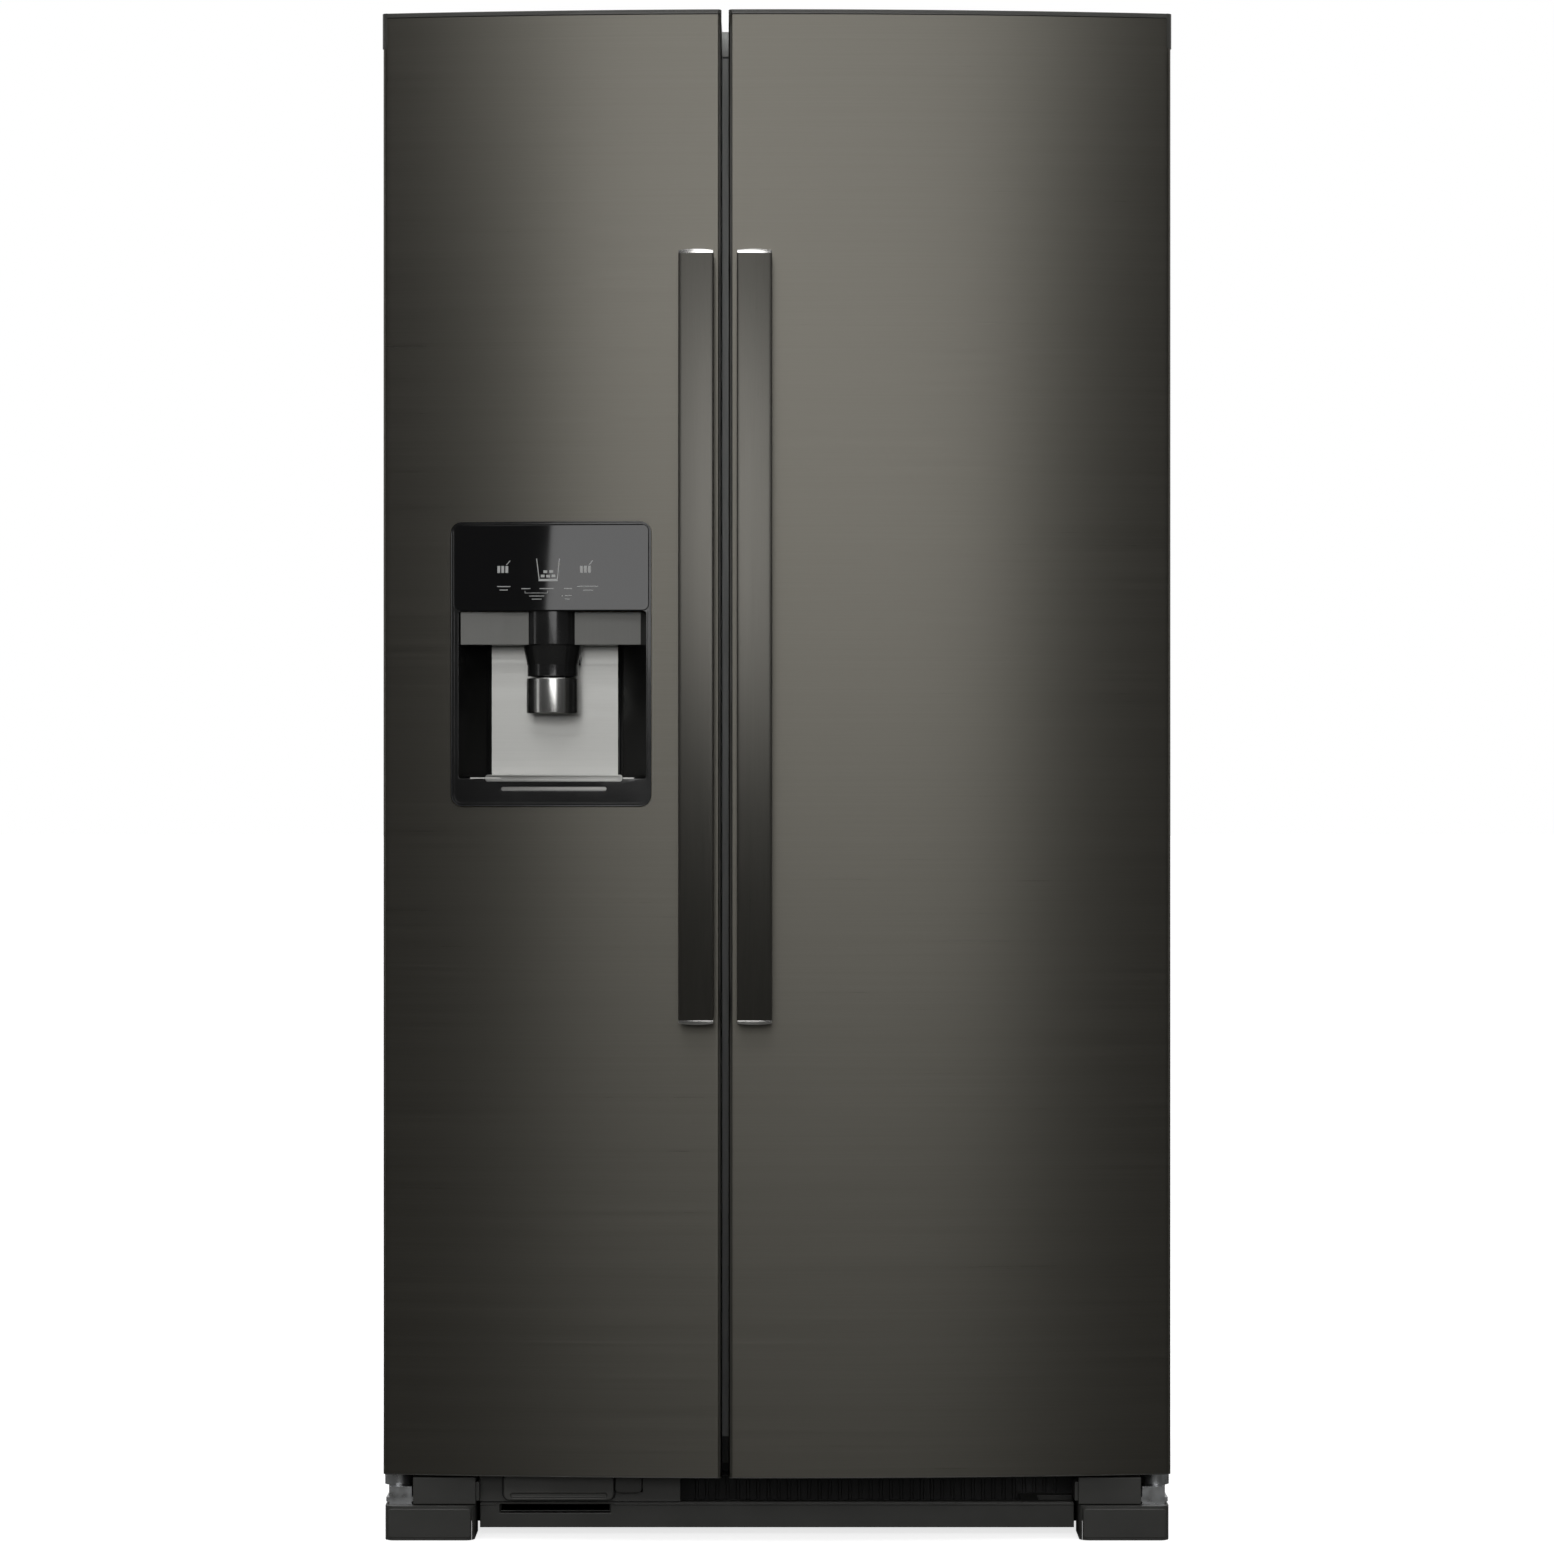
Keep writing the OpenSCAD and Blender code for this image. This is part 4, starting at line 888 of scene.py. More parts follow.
# %% Recess
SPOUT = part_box("dispenser_spout")
SPOUT_C = ((SPOUT[0].x + SPOUT[1].x) / 2, (SPOUT[0].y + SPOUT[1].y) / 2)
SPOUT_R = (SPOUT[1].x - SPOUT[0].x) / 2
BACK_Y = -284 * MM
BACK_X = (-335 * MM, -182 * MM)
WALL = 2.4 * MM


def corner(p, q, r, steps=6):
    """Points of a rounded corner q between p and the next point along x."""
    (px, py), (qx, qy, way) = p, q
    length = sqrt((qx - px) ** 2 + (qy - py) ** 2)
    ux, uy = (px - qx) / length, (py - qy) / length
    start, end = (qx + ux * r, qy + uy * r), (qx + way * r, qy)
    return [
        ((1 - t) ** 2 * start[0] + 2 * t * (1 - t) * qx + t * t * end[0],
         (1 - t) ** 2 * start[1] + 2 * t * (1 - t) * qy + t * t * end[1])
        for t in (k / steps for k in range(steps + 1))
    ]


def recess_plan(grow):
    left = (MOUTH_X[0] - grow, bow(MOUTH_X[0]) + 1 * MM)
    right = (MOUTH_X[1] + grow, bow(MOUTH_X[1]) + 1 * MM)
    back = BACK_Y + grow
    first = corner(left, (BACK_X[0] - grow, back, 1), 9 * MM)
    last = corner(right, (BACK_X[1] + grow, back, -1), 9 * MM)
    return [left] + first + last[::-1] + [right]


def recess():
    inner = recess_plan(0)
    walls = upright("walls", inner + recess_plan(WALL)[::-1], MOUTH_Z[0] - WALL, MOUTH_Z[1])
    floor = upright("floor", inner, MOUTH_Z[0] - WALL, MOUTH_Z[0] - 0.2 * MM)
    lid_plan = [(MOUTH_X[0] + 9 * MM, BAND_Y + 3 * MM), (BACK_X[0] + 4 * MM, BACK_Y - 2 * MM),
                (BACK_X[1] - 4 * MM, BACK_Y - 2 * MM), (MOUTH_X[1] - 9 * MM, BAND_Y + 3 * MM)]
    lid = upright("lid", lid_plan, CEILING, CEILING + 3 * MM)
    hole = turned("hole", [(0.1 * MM, 0.9), (SPOUT_R + 0.2 * MM, 0.9), (SPOUT_R + 0.2 * MM, 1.2),
                           (0.1 * MM, 1.2)], SPOUT_C)
    cut(lid, [hole])
    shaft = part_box("dispenser_paddle")
    ears = [
        softened(box_piece("ear",
                           (SPOUT_C[0] + s * 30 * MM - 1.5 * MM, BACK_Y - 13 * MM, 1008 * MM),
                           (SPOUT_C[0] + s * 30 * MM + 1.5 * MM, BACK_Y + 0.5 * MM,
                            shaft[1].z + 5 * MM)),
                 0.8 * MM)
        for s in (-1, 1)
    ]
    piece = joined("dispenser_recess", [walls, floor, lid] + ears)
    return placed(smooth(piece), "freezer_door", "dispenser_plastic", "dispenser_housing")


recess()

# %% Back plate and fascia
plate = facing("dispenser_back_plate", rounded(BACK_X[0] + 1.5 * MM, BACK_X[1] - 1.5 * MM,
               MOUTH_Z[0] + 1 * MM, CEILING, 3 * MM), BACK_Y - 1.2 * MM, BACK_Y - 0.1 * MM)
placed(smooth(softened(plate, 0.4 * MM)), "freezer_door", "tray_steel", "dispenser_housing")
fascia = facing("dispenser_fascia", rounded(MOUTH_X[0] + 2.2 * MM, MOUTH_X[1] - 2.2 * MM, CEILING,
                MOUTH_Z[1] - 0.4 * MM, 1 * MM), BAND_Y, BAND_Y + 3 * MM)
cut(fascia, [turned("hole", [(0.1 * MM, 1.0), (SPOUT_R + 0.3 * MM, 1.0), (SPOUT_R + 0.3 * MM, 1.1),
                             (0.1 * MM, 1.1)], SPOUT_C)])
placed(smooth(softened(fascia, 0.4 * MM)), "freezer_door", "mullion_steel", "dispenser_housing")
fascia.data.materials[0] = finish("fascia_steel", (0.19, 0.19, 0.18), 0.42, tone=0.06,
                                  streak=(400, 400, 4),
                                  edge=0.0006, Metallic=0.4)
diffuser = facing("dispenser_light",
                  rounded(-316.6 * MM, -195.4 * MM, 862.2 * MM, 866.8 * MM, 2.2 * MM),
                  0.9 * MM, 2.0 * MM)
placed(smooth(bent(softened(diffuser, 0.3 * MM), SLOT_FINISH["valve_plastic"], back=False)),
       "freezer_door", "tray_steel", "dispenser_housing")

# %% [markdown]
# ## Touch panel
# A sheet of black glass, proud of the bezel by a hair. Its marks are plain pictograms for ice
# and water, with short dashes in the place of words. They are thin printed strokes that stand
# a tenth of a millimetre on the glass.

# %% Panel and marks
glass = facing("touch_panel", rounded(PANEL[0].x, PANEL[1].x, PANEL[0].z, PANEL[1].z, 6.5 * MM),
               -2.4 * MM, 1.8 * MM)
placed(smooth(bent(softened(glass, 0.5 * MM), SLOT_FINISH["panel_gloss"], back=False)),
       "freezer_door", "panel_gloss", "dispenser_panel")
PANEL_MID = ((PANEL[0].x + PANEL[1].x) / 2, (PANEL[0].z + PANEL[1].z) / 2)


def stroke(points, width):
    """Printed line through points given in millimetres from the panel's middle."""
    quads = []
    for (ax, az), (cx, cz) in zip(points, points[1:]):
        run = Vector((cx - ax, cz - az))
        side = Vector((-run.y, run.x)).normalized() * width / 2
        tip = run.normalized() * width * 0.2
        outline = [Vector((ax, az)) - tip + side, Vector((cx, cz)) + tip + side,
                   Vector((cx, cz)) + tip - side, Vector((ax, az)) - tip - side]
        quads.append(facing("ink",
                            [(PANEL_MID[0] + p.x * MM, PANEL_MID[1] + p.y * MM) for p in outline],
                            -2.5 * MM, -2.38 * MM))
    return quads


def panel_marks():
    ink = []
    for side in (-55.6, 39.5):
        for bar in (-4.6, 0.0, 4.6):
            ink += stroke([(side + bar, -5.2), (side + bar, 1.4)], 3.2)
        ink += stroke([(side + 4.4, 3.4), (side + 8.4, 8.0)], 0.8)
    ink += stroke([(-16.6, 10.2), (-13.6, -14.0)], 1.0)
    ink += stroke([(9.6, 10.2), (7.2, -14.0)], 1.0)
    ink += stroke([(-13.9, -14.2), (7.5, -14.2)], 2.6)
    for cx, cz in ((-9.6, -9.6), (-3.4, -9.8), (2.8, -9.4), (-6.6, -4.6), (0.2, -4.4)):
        ink += stroke([(cx - 1.6, cz), (cx + 1.6, cz)], 3.0)
    for x0, x1, z in ((-62, -47, -21.5), (-59, -50, -25.5), (-34, -24, -24), (-13, 3, -24),
                      (15, 24, -24), (30, 54, -21.5), (37, 48, -26)):
        ink += stroke([(x0, z), (x1, z)], 0.9)
    ink += stroke([(-30, -26.5), (-30, -29), (-4, -29), (-4, -26.5)], 0.5)
    for x0, x1, z in ((-25, -8, -32.5), (-22, -11, -36), (12, 13.5, -32.5), (16, 24, -32),
                      (16, 22, -36)):
        ink += stroke([(x0, z), (x1, z)], 0.8)
    return joined("panel_marks", ink)


finish("panel_ink", (0.62, 0.63, 0.62), 0.5, tone=0.03, uneven=60)
marks = bent(panel_marks(), SLOT_FINISH["panel_ink"], back=False)
placed(marks, "freezer_door", "panel_gloss", "dispenser_panel")
marks.data.materials[0] = SLOT_FINISH["panel_ink"]

# %% [markdown]
# ## Spout, collar and tray
# Round parts are turned profiles. The spout is a short tube with a funnel under it. The collar
# hangs below and swings back when a glass is pushed against it, so it rides on its own body.

# %% Spout and collar
def spout():
    top, r = SPOUT[1].z, SPOUT_R
    profile = [(24, 994), (28.2, 994), (29, 994.8), (29, 1007.2), (29.5, 1008), (33.6, 1028.4),
               (34.2, 1029.6), (35.2, 1030.2), (36, 1031.2), (36, 1068), (35.4, 1068.6),
               (24, 1068.6)]
    scale = [(min(a * MM, r), min(z * MM, top)) for a, z in profile]
    return placed(smooth(turned("spout", scale, SPOUT_C)), "freezer_door", "dispenser_dark",
                  "dispenser_spout")


def collar():
    low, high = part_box("dispenser_paddle")
    pivot_y, pivot_z = -291.5 * MM, 1015 * MM
    ring = turned("ring", [(26 * MM, low.z + MM), (27 * MM, low.z + 0.2 * MM), (29 * MM, low.z),
                           (30 * MM, low.z + 1.2 * MM), (30 * MM, 990.6 * MM),
                           (29.2 * MM, 991.8 * MM),
                           (27 * MM, 992 * MM), (26 * MM, 991 * MM)], SPOUT_C)
    arm = box_piece("arm", (SPOUT_C[0] - 12 * MM, SPOUT_C[1] + 28 * MM, 984 * MM),
                    (SPOUT_C[0] + 12 * MM, pivot_y + MM, 991 * MM))
    stem = box_piece("stem", (SPOUT_C[0] - 12 * MM, pivot_y - MM, 984 * MM),
                     (SPOUT_C[0] + 12 * MM, pivot_y + MM, pivot_z))
    rod = loft("rod", [[(x, pivot_y + 2 * MM * cos(k * pi / 8), pivot_z + 2 * MM * sin(k * pi / 8))
                        for k in range(16)] for x in (low.x, high.x)])
    piece = joined("glass_collar", [ring, softened(arm, 0.6 * MM), softened(stem, 0.5 * MM), rod])
    return placed(smooth(piece), "paddle", "paddle_chrome", "dispenser_paddle")


spout()
collar()

# %% [markdown]
# Between the doors a steel strip covers the mullion. Near the top, a thin black strip paints the
# shadow line of the seam where the strip meets the front edge of the cabinet roof.

# %% Painted shadow line across the mullion
def mullion_seam():
    low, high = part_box("mullion_cover")
    # The black strip here is painted shade: it stands for the shadow line in the seam.
    seam = facing("mullion_seam",
                  rounded(SLIT_X[0], SLIT_X[1], high.z - 1.2 * MM, high.z + 1.2 * MM,
                                          0.8 * MM, 4), low.y - 0.3 * MM, low.y + 0.3 * MM)
    placed(smooth(softened(seam, 0.1 * MM)), "cabinet", "black_plastic")
    cap = facing("mullion_cap", rounded(low.x, high.x, high.z + 1.3 * MM, 1745.6 * MM, 1 * MM, 4),
                 low.y - 0.08 * MM, low.y + 0.3 * MM)
    placed(smooth(cap), "cabinet", "mullion_steel")


mullion_seam()

# %% [markdown]
# The rounded inner edge of each door carries one thin drawn line, which lights up as a grey
# thread beside the slit. It is a slim strip laid on the bow, just proud of the rounding.

# %% Drawn lines beside the slit
def drawn_line(name, body, x, proud):
    strip = facing(name, rounded(x - 0.35 * MM, x + 0.35 * MM, 80 * MM, 1738 * MM, 0.3 * MM, 3),
                   proud, proud + 2 * MM)
    return placed(smooth(bent(strip, SLOT_FINISH["cap_plastic"], back=False)), body, "cap_plastic")


drawn_line("freezer_door_line", "freezer_door", -65.4 * MM, 0.95 * MM)
drawn_line("fridge_door_line", "fridge_door", -52.8 * MM, 0.35 * MM)


# %% [markdown]
# ## Rows of equal things
# Tray bars, vent hoods, cooling fins and tube wires are one small shape repeated at equal
# steps. A single Geometry Nodes tree sets a unit shape along a line. Its count and its step
# are named inputs, and the result is made real, so that the meshes hold everything.

# %% The row tree
def build_row():
    nodes = tree("equal_row", [
        ("Unit", "Object", None), ("Count", "Int", 2), ("Start", "Vector", (0, 0, 0)),
        ("Step", "Vector", (0.01, 0, 0)), ("Material", "Material", None),
    ])
    given = nodes.nodes.new("NodeGroupInput").outputs
    line = nodes.nodes.new("GeometryNodeMeshLine")
    nodes.links.new(given["Count"], line.inputs["Count"])
    nodes.links.new(given["Start"], line.inputs["Start Location"])
    nodes.links.new(given["Step"], line.inputs["Offset"])
    unit = nodes.nodes.new("GeometryNodeObjectInfo")
    nodes.links.new(given["Unit"], unit.inputs["Object"])
    copies = nodes.nodes.new("GeometryNodeInstanceOnPoints")
    nodes.links.new(line.outputs[0], copies.inputs["Points"])
    nodes.links.new(unit.outputs["Geometry"], copies.inputs["Instance"])
    finish_tree(nodes, copies.outputs[0], given["Material"])
    return nodes


ROW = build_row()


def row(name, unit, count, step, slot, start=(0, 0, 0)):
    """Copies of a unit shape at equal steps; the unit stands where the first copy goes."""
    holder = as_object(name, bpy.data.meshes.new(name))
    grown(holder, ROW, {"Unit": unit, "Count": count, "Step": step, "Start": start,
                        "Material": SLOT_FINISH[slot]})
    bpy.data.objects.remove(unit)
    return holder


# %% [markdown]
# The drip tray is a steel pan behind a rolled lip. Its grille is a row of rounded bars with
# open gaps between them, where the engineering node has shallow slots.

# %% Drip tray
def drip_tray():
    low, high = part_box("drip_tray")
    lip_x = (-335 * MM, -177 * MM)
    front = 3 * MM
    lip = facing("lip", rounded(lip_x[0], lip_x[1], high.z - 7.4 * MM, high.z + 0.6 * MM,
                                3.2 * MM),
                 -2.5 * MM, 1.5 * MM)
    groove = facing("groove", rounded(lip_x[0] + 3 * MM, lip_x[1] - 3 * MM, high.z - 5.2 * MM,
                                      high.z - 1.6 * MM, 1.5 * MM), -4 * MM, -1.9 * MM)
    lip = bent(softened(cut(lip, [groove]), 0.5 * MM), SLOT_FINISH["tray_steel"], back=False)
    edge_y = bow(-0.259) + front
    pan_plan = [(low.x + 4 * MM, edge_y), (high.x - 4 * MM, edge_y), (-190 * MM, high.y - MM),
                (-328 * MM, high.y - MM)]
    pan = upright("pan", pan_plan, low.z, low.z + 1.5 * MM)
    bar = softened(upright("bar", rounded(-317 * MM, -312.6 * MM, edge_y + MM, high.y - 8 * MM,
                                          2 * MM, 4),
                           low.z + 1.3 * MM, high.z), 0.6 * MM)
    bars = row("bars", bar, 22, (5.6 * MM, 0, 0), "tray_steel")
    return placed(smooth(joined("drip_grille", [lip, pan, bars])), "freezer_door", "tray_steel",
                  "drip_tray")


drip_tray()

# %% [markdown]
# ## The base
# Under the doors sit two toe covers over the levelling feet, the boxes over the hinge
# brackets, a kick rail, and the water filter's cap with its release button. All are plain
# mouldings, so their believable look comes from corner radii and from small steps.

# %% Toe covers and bracket boxes
def toe_covers():
    low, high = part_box("leg_covers")
    parts = []
    for s in (-1, 1):
        x0, x1 = sorted((s * 348 * MM, s * high.x))

        def plan(inset, y_front, r):
            front = [(x0 + inset + r - r * cos(k * pi / 16), y_front + r - r * sin(k * pi / 16))
                     for k in range(9)]
            back = [(x0 + x1 - x, y) for x, y in reversed(front)]
            return [(x0 + inset, high.y)] + front + back + [(x1 - inset, high.y)]

        cover = upright("cover", plan(0, low.y + 0.8 * MM, 11 * MM), low.z, 40 * MM)
        hollow = box_piece("hollow", (x0 + 3 * MM, low.y + 4 * MM, -0.01),
                           (x1 - 3 * MM, 0, 37 * MM))
        parts.append(softened(cut(cover, [hollow]), 1.0 * MM, 3))
        inset = facing("panel",
                       rounded(x0 + 4.5 * MM, x1 - 4.5 * MM, low.z + 3 * MM, 36.5 * MM, 2.5 * MM),
                       low.y, low.y + 2 * MM)
        parts.append(softened(inset, 0.7 * MM))
        b0, b1 = sorted((s * 347 * MM, s * 419 * MM))
        box = box_piece("box", (b0, -345 * MM, 41 * MM), (b1, high.y, high.z))
        inside = box_piece("inside", (b0 + 2 * MM, -343 * MM, 30 * MM),
                           (b1 - 2 * MM, 0, high.z - 2 * MM))
        parts.append(softened(cut(box, [inside]), 1.4 * MM, 3))
        step = box_piece("step", (min(s * 343 * MM, s * 347.5 * MM), -339 * MM, 44 * MM),
                         (max(s * 343 * MM, s * 347.5 * MM), high.y, 66 * MM))
        parts.append(softened(step, 0.8 * MM))
    return placed(smooth(joined("toe_covers", parts)), "cabinet", "dark_plastic", "leg_covers")


toe_covers()

# %% Kick rail, baffle and lip, which stand beside the frame of the base; the baffle's black sheets are partly painted shade
def kick_rail():
    rail = box_piece("rail", (-344 * MM, -313 * MM, 9 * MM), (344 * MM, -296.6 * MM, 38.6 * MM))
    slot = box_piece("slot", (-321 * MM, -1, 26 * MM), (-193 * MM, -303 * MM, 36 * MM))
    parts = [softened(cut(rail, [slot]), 1.2 * MM, 3)]
    parts.append(softened(box_piece("ridge", (-344 * MM, -314 * MM, 34.8 * MM),
                                    (-325 * MM, -312 * MM, 37 * MM)), 0.5 * MM))
    parts.append(softened(box_piece("ridge", (-189 * MM, -314 * MM, 34.8 * MM),
                                    (344 * MM, -312 * MM, 37 * MM)), 0.5 * MM))
    return placed(smooth(joined("kick_rail", parts)), "cabinet", "base_steel")


# The baffle is partly real, a ribbed grille behind the rail with a pan under the machine, and
# partly painted shade: its black sheet, sides, divider and belly stand dark where the shaded
# inside of the base and the shaded floor under it would show.
def base_baffle():
    sheet = box_piece("sheet", (-345 * MM, -243.5 * MM, 8 * MM), (427 * MM, -242.3 * MM, 78 * MM))
    lip = box_piece("lip", (-110 * MM, -276 * MM, 62.6 * MM), (340 * MM, -243 * MM, 63.8 * MM))
    rib = softened(box_piece("rib", (-96 * MM, -245.5 * MM, 14 * MM),
                             (-92 * MM, -243 * MM, 60 * MM)), 0.8 * MM)
    ribs = row("ribs", rib, 36, (12 * MM, 0, 0), "black_plastic")
    sides = [box_piece("side", (min(s * 345 * MM, s * 428 * MM), -262 * MM, 8 * MM),
                       (max(s * 345 * MM, s * 428 * MM), -260.8 * MM, 78 * MM)) for s in (-1, 1)]
    divider = box_piece("divider", (-425 * MM, 126 * MM, 12 * MM), (425 * MM, 127.2 * MM, 74 * MM))
    belly = box_piece("belly", (-425 * MM, 127 * MM, 20 * MM), (425 * MM, 237 * MM, 21.2 * MM))
    return placed(smooth(joined("base_baffle",
                                [sheet, softened(lip, 0.4 * MM), ribs, divider, belly] + sides)),
                  "cabinet", "black_plastic")


kick_rail()
base_baffle()

# %% [markdown]
# The filter is a cartridge that slides out below the door. Its cap stands a little proud and
# has round lower corners, and the button beside it lets it go.

# %% Filter cap, cartridge, button and the painted shadow round the cap
def filter_parts():
    low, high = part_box("water_filter")
    cap = facing("cap", rounded(low.x, high.x, low.z, 73 * MM, 7 * MM), low.y, low.y + 17 * MM)
    finger = facing("finger", rounded(low.x + 8 * MM, high.x - 8 * MM, low.z + 3 * MM,
                                      low.z + 8 * MM, 2.4 * MM),
                    low.y - 1 * MM, low.y + 3 * MM)
    cap = softened(cut(cap, [finger]), 1.2 * MM, 3)
    mid = ((low.x + high.x) / 2, 57.5 * MM)
    rings = []
    for y, r in ((-316, 13.2), (-300, 14), (-90, 14), (-86, 12.6), (-68, 12.6), (-65.2, 11)):
        rings.append([(mid[0] + r * MM * cos(k * pi / 24), y * MM,
                       mid[1] + r * MM * sin(k * pi / 24))
                      for k in range(48)])
    placed(smooth(joined("filter_cartridge_body", [cap, loft("tube", rings)])), "filter_cartridge",
           "filter_plastic", "water_filter")
    # A black ring just round the cap is painted shade: it stands for the shadow in the gap round
    # the proud cap.
    seat = facing("filter_seat", rounded(low.x - 2.6 * MM, high.x + 2.6 * MM, low.z - 2.4 * MM,
                                         74.6 * MM, 9 * MM),
                  -318.9 * MM, -317.6 * MM)
    gap = facing("gap", rounded(low.x - 0.4 * MM, high.x + 0.4 * MM, low.z - 0.4 * MM, 73.4 * MM,
                                7.4 * MM),
                 -330 * MM, -300 * MM)
    placed(smooth(softened(cut(seat, [gap]), 0.3 * MM)), "cabinet", "black_plastic")
    low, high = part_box("filter_button")
    push = facing("filter_push", rounded(low.x, high.x, low.z, high.z, 5 * MM), low.y, high.y)
    placed(smooth(softened(push, 1.2 * MM, 3)), "filter_release", "dark_plastic", "filter_button")


filter_parts()

# %% [markdown]
# ## Hinges
# The lower hinge is a steel bracket with a pin. The closing cup on it is a pale, fluted
# plastic ring: two cams inside it pull the door shut. The flutes are a turned profile whose
# radius ripples as it goes round.

# %% Closing cups
def closing_cups():
    parts = []
    for s in (-1, 1):
        rings = []
        for z, r in ((60.4, 12.4), (61.2, 13.2), (66, 14.0), (73.4, 15.2), (74.4, 14.6), (74.4, 6),
                     (60.4, 6)):
            rings.append((r * MM, z * MM))
        turns = 72
        points, faces = [], []
        for k in range(turns):
            ripple = 1 + 0.022 * cos(18 * 2 * pi * k / turns)
            for r, z in rings:
                reach = r * (ripple if r > 7 * MM else 1)
                points.append((s * PIN_X + reach * cos(2 * pi * k / turns),
                               PIN_Y + reach * sin(2 * pi * k / turns), z))
        for k in range(turns):
            for i in range(len(rings)):
                j = (i + 1) % len(rings)
                a, b = k * len(rings), ((k + 1) % turns) * len(rings)
                faces.append((a + i, a + j, b + j, b + i))
        parts.append(mesh_of("cup", points, faces))
    cups = placed(smooth(joined("closing_cups", parts)), "cabinet", "valve_plastic")
    cups.data.materials[0] = finish("closing_cup", (0.34, 0.35, 0.33), 0.30, tone=0.06, uneven=60,
                                    Transmission_Weight=0.25, IOR=1.45)
    return cups




closing_cups()


# %% [markdown]
# ## Tubes along a path
# The condenser, the evaporator and the ice screw are rods bent along a path. The tree turns a
# chain of edges into a curve, rounds its corners and sweeps a circle along it. Only the corner
# points of the path are needed, and a change of radius is a change of one number.

# %% The tube tree
def build_tube():
    nodes = tree("tube_along", [
        ("Radius", "Float", 0.003), ("Bend Radius", "Float", 0.01), ("Sides", "Int", 14),
        ("Material", "Material", None),
    ])
    given = nodes.nodes.new("NodeGroupInput").outputs
    curve = nodes.nodes.new("GeometryNodeMeshToCurve")
    nodes.links.new(given["Geometry"], curve.inputs[0])
    round_off = nodes.nodes.new("GeometryNodeFilletCurve")
    round_off.mode = "POLY"
    round_off.inputs["Count"].default_value = 7
    round_off.inputs["Limit Radius"].default_value = True
    nodes.links.new(curve.outputs[0], round_off.inputs[0])
    nodes.links.new(given["Bend Radius"], round_off.inputs["Radius"])
    ring = nodes.nodes.new("GeometryNodeCurvePrimitiveCircle")
    nodes.links.new(given["Sides"], ring.inputs["Resolution"])
    nodes.links.new(given["Radius"], ring.inputs["Radius"])
    sweep = nodes.nodes.new("GeometryNodeCurveToMesh")
    sweep.inputs["Fill Caps"].default_value = True
    nodes.links.new(round_off.outputs[0], sweep.inputs["Curve"])
    nodes.links.new(ring.outputs[0], sweep.inputs["Profile Curve"])
    finish_tree(nodes, sweep.outputs[0], given["Material"])
    return nodes


TUBE = build_tube()


def outward(piece):
    """Welds the seams and turns every face outward."""
    shape = bmesh.new()
    shape.from_mesh(piece.data)
    bmesh.ops.remove_doubles(shape, verts=shape.verts[:], dist=1e-6)
    bmesh.ops.recalc_face_normals(shape, faces=shape.faces[:])
    shape.to_mesh(piece.data)
    shape.free()
    return piece


def tube(name, path, radius, bend, slot, sides=14):
    """A rod of the given radius along a path of corner points, in metres."""
    mesh = bpy.data.meshes.new(name)
    mesh.from_pydata(path, [(i, i + 1) for i in range(len(path) - 1)], [])
    return outward(grown(as_object(name, mesh), TUBE, {
        "Radius": radius, "Bend Radius": bend, "Sides": sides, "Material": SLOT_FINISH[slot]}))


# %% Condenser: a wire-on-tube coil between two side plates
COIL_ROWS, COIL_FIRST, COIL_STEP = 4, 250, 30
COIL_ENDS = (40, 262)
COIL_R, WIRE_R = 3 * MM, 0.8 * MM
RUN_R = 4 * MM
HELIX_R, HELIX_TURNS, HELIX_STEPS = 28.2 * MM, 4.5, 28
SCREW_R, COVER_SCREW_R = 6 * MM, 4.5 * MM


def serpentine(x0, x1, levels, y):
    """Corner points of a run that goes from side to side and climbs at each end."""
    path = []
    for k, z in enumerate(levels):
        ends = (x0, x1) if k % 2 == 0 else (x1, x0)
        path += [(ends[0] * MM, y * MM, z * MM), (ends[1] * MM, y * MM, z * MM)]
    return path


def condenser_coil():
    slot = "compressor_paint"
    levels = [50 + 28 * k for k in range(6)]
    parts = []
    for k in range(COIL_ROWS):
        y = COIL_FIRST + COIL_STEP * k
        parts.append(tube("coil", serpentine(*COIL_ENDS, levels, y), COIL_R, 13 * MM, slot))
        for side in (-3.7, 3.7):
            wire = tube("wire", [(61 * MM, (y + side) * MM, 40 * MM),
                                 (61 * MM, (y + side) * MM, 200 * MM)],
                        WIRE_R, 0, slot, 8)
            parts.append(row("wires", wire, 10, (20 * MM, 0, 0), slot))
    for k in range(COIL_ROWS - 1):
        y = COIL_FIRST + COIL_STEP * k
        z = levels[-1] if k % 2 == 0 else levels[0]
        parts.append(tube("link", [(40 * MM, y * MM, z * MM), (36 * MM, y * MM, z * MM),
                                   (36 * MM, (y + COIL_STEP) * MM, z * MM),
                                   (40 * MM, (y + COIL_STEP) * MM, z * MM)],
                          COIL_R, 4 * MM, slot))
    for x in (48, 250):
        plate = box_piece("plate", (x * MM, 240 * MM, 28 * MM),
                          ((x + 1.2) * MM, 350 * MM, 206 * MM))
        flange = box_piece("flange", (x * MM, 240 * MM, 28 * MM),
                           ((x + 2) * MM, 350 * MM, 29.5 * MM))
        parts += [softened(plate, 0.3 * MM), softened(flange, 0.3 * MM)]
    return placed(smooth(joined("condenser_coil", parts)), "cabinet", slot, "condenser")


condenser_coil()

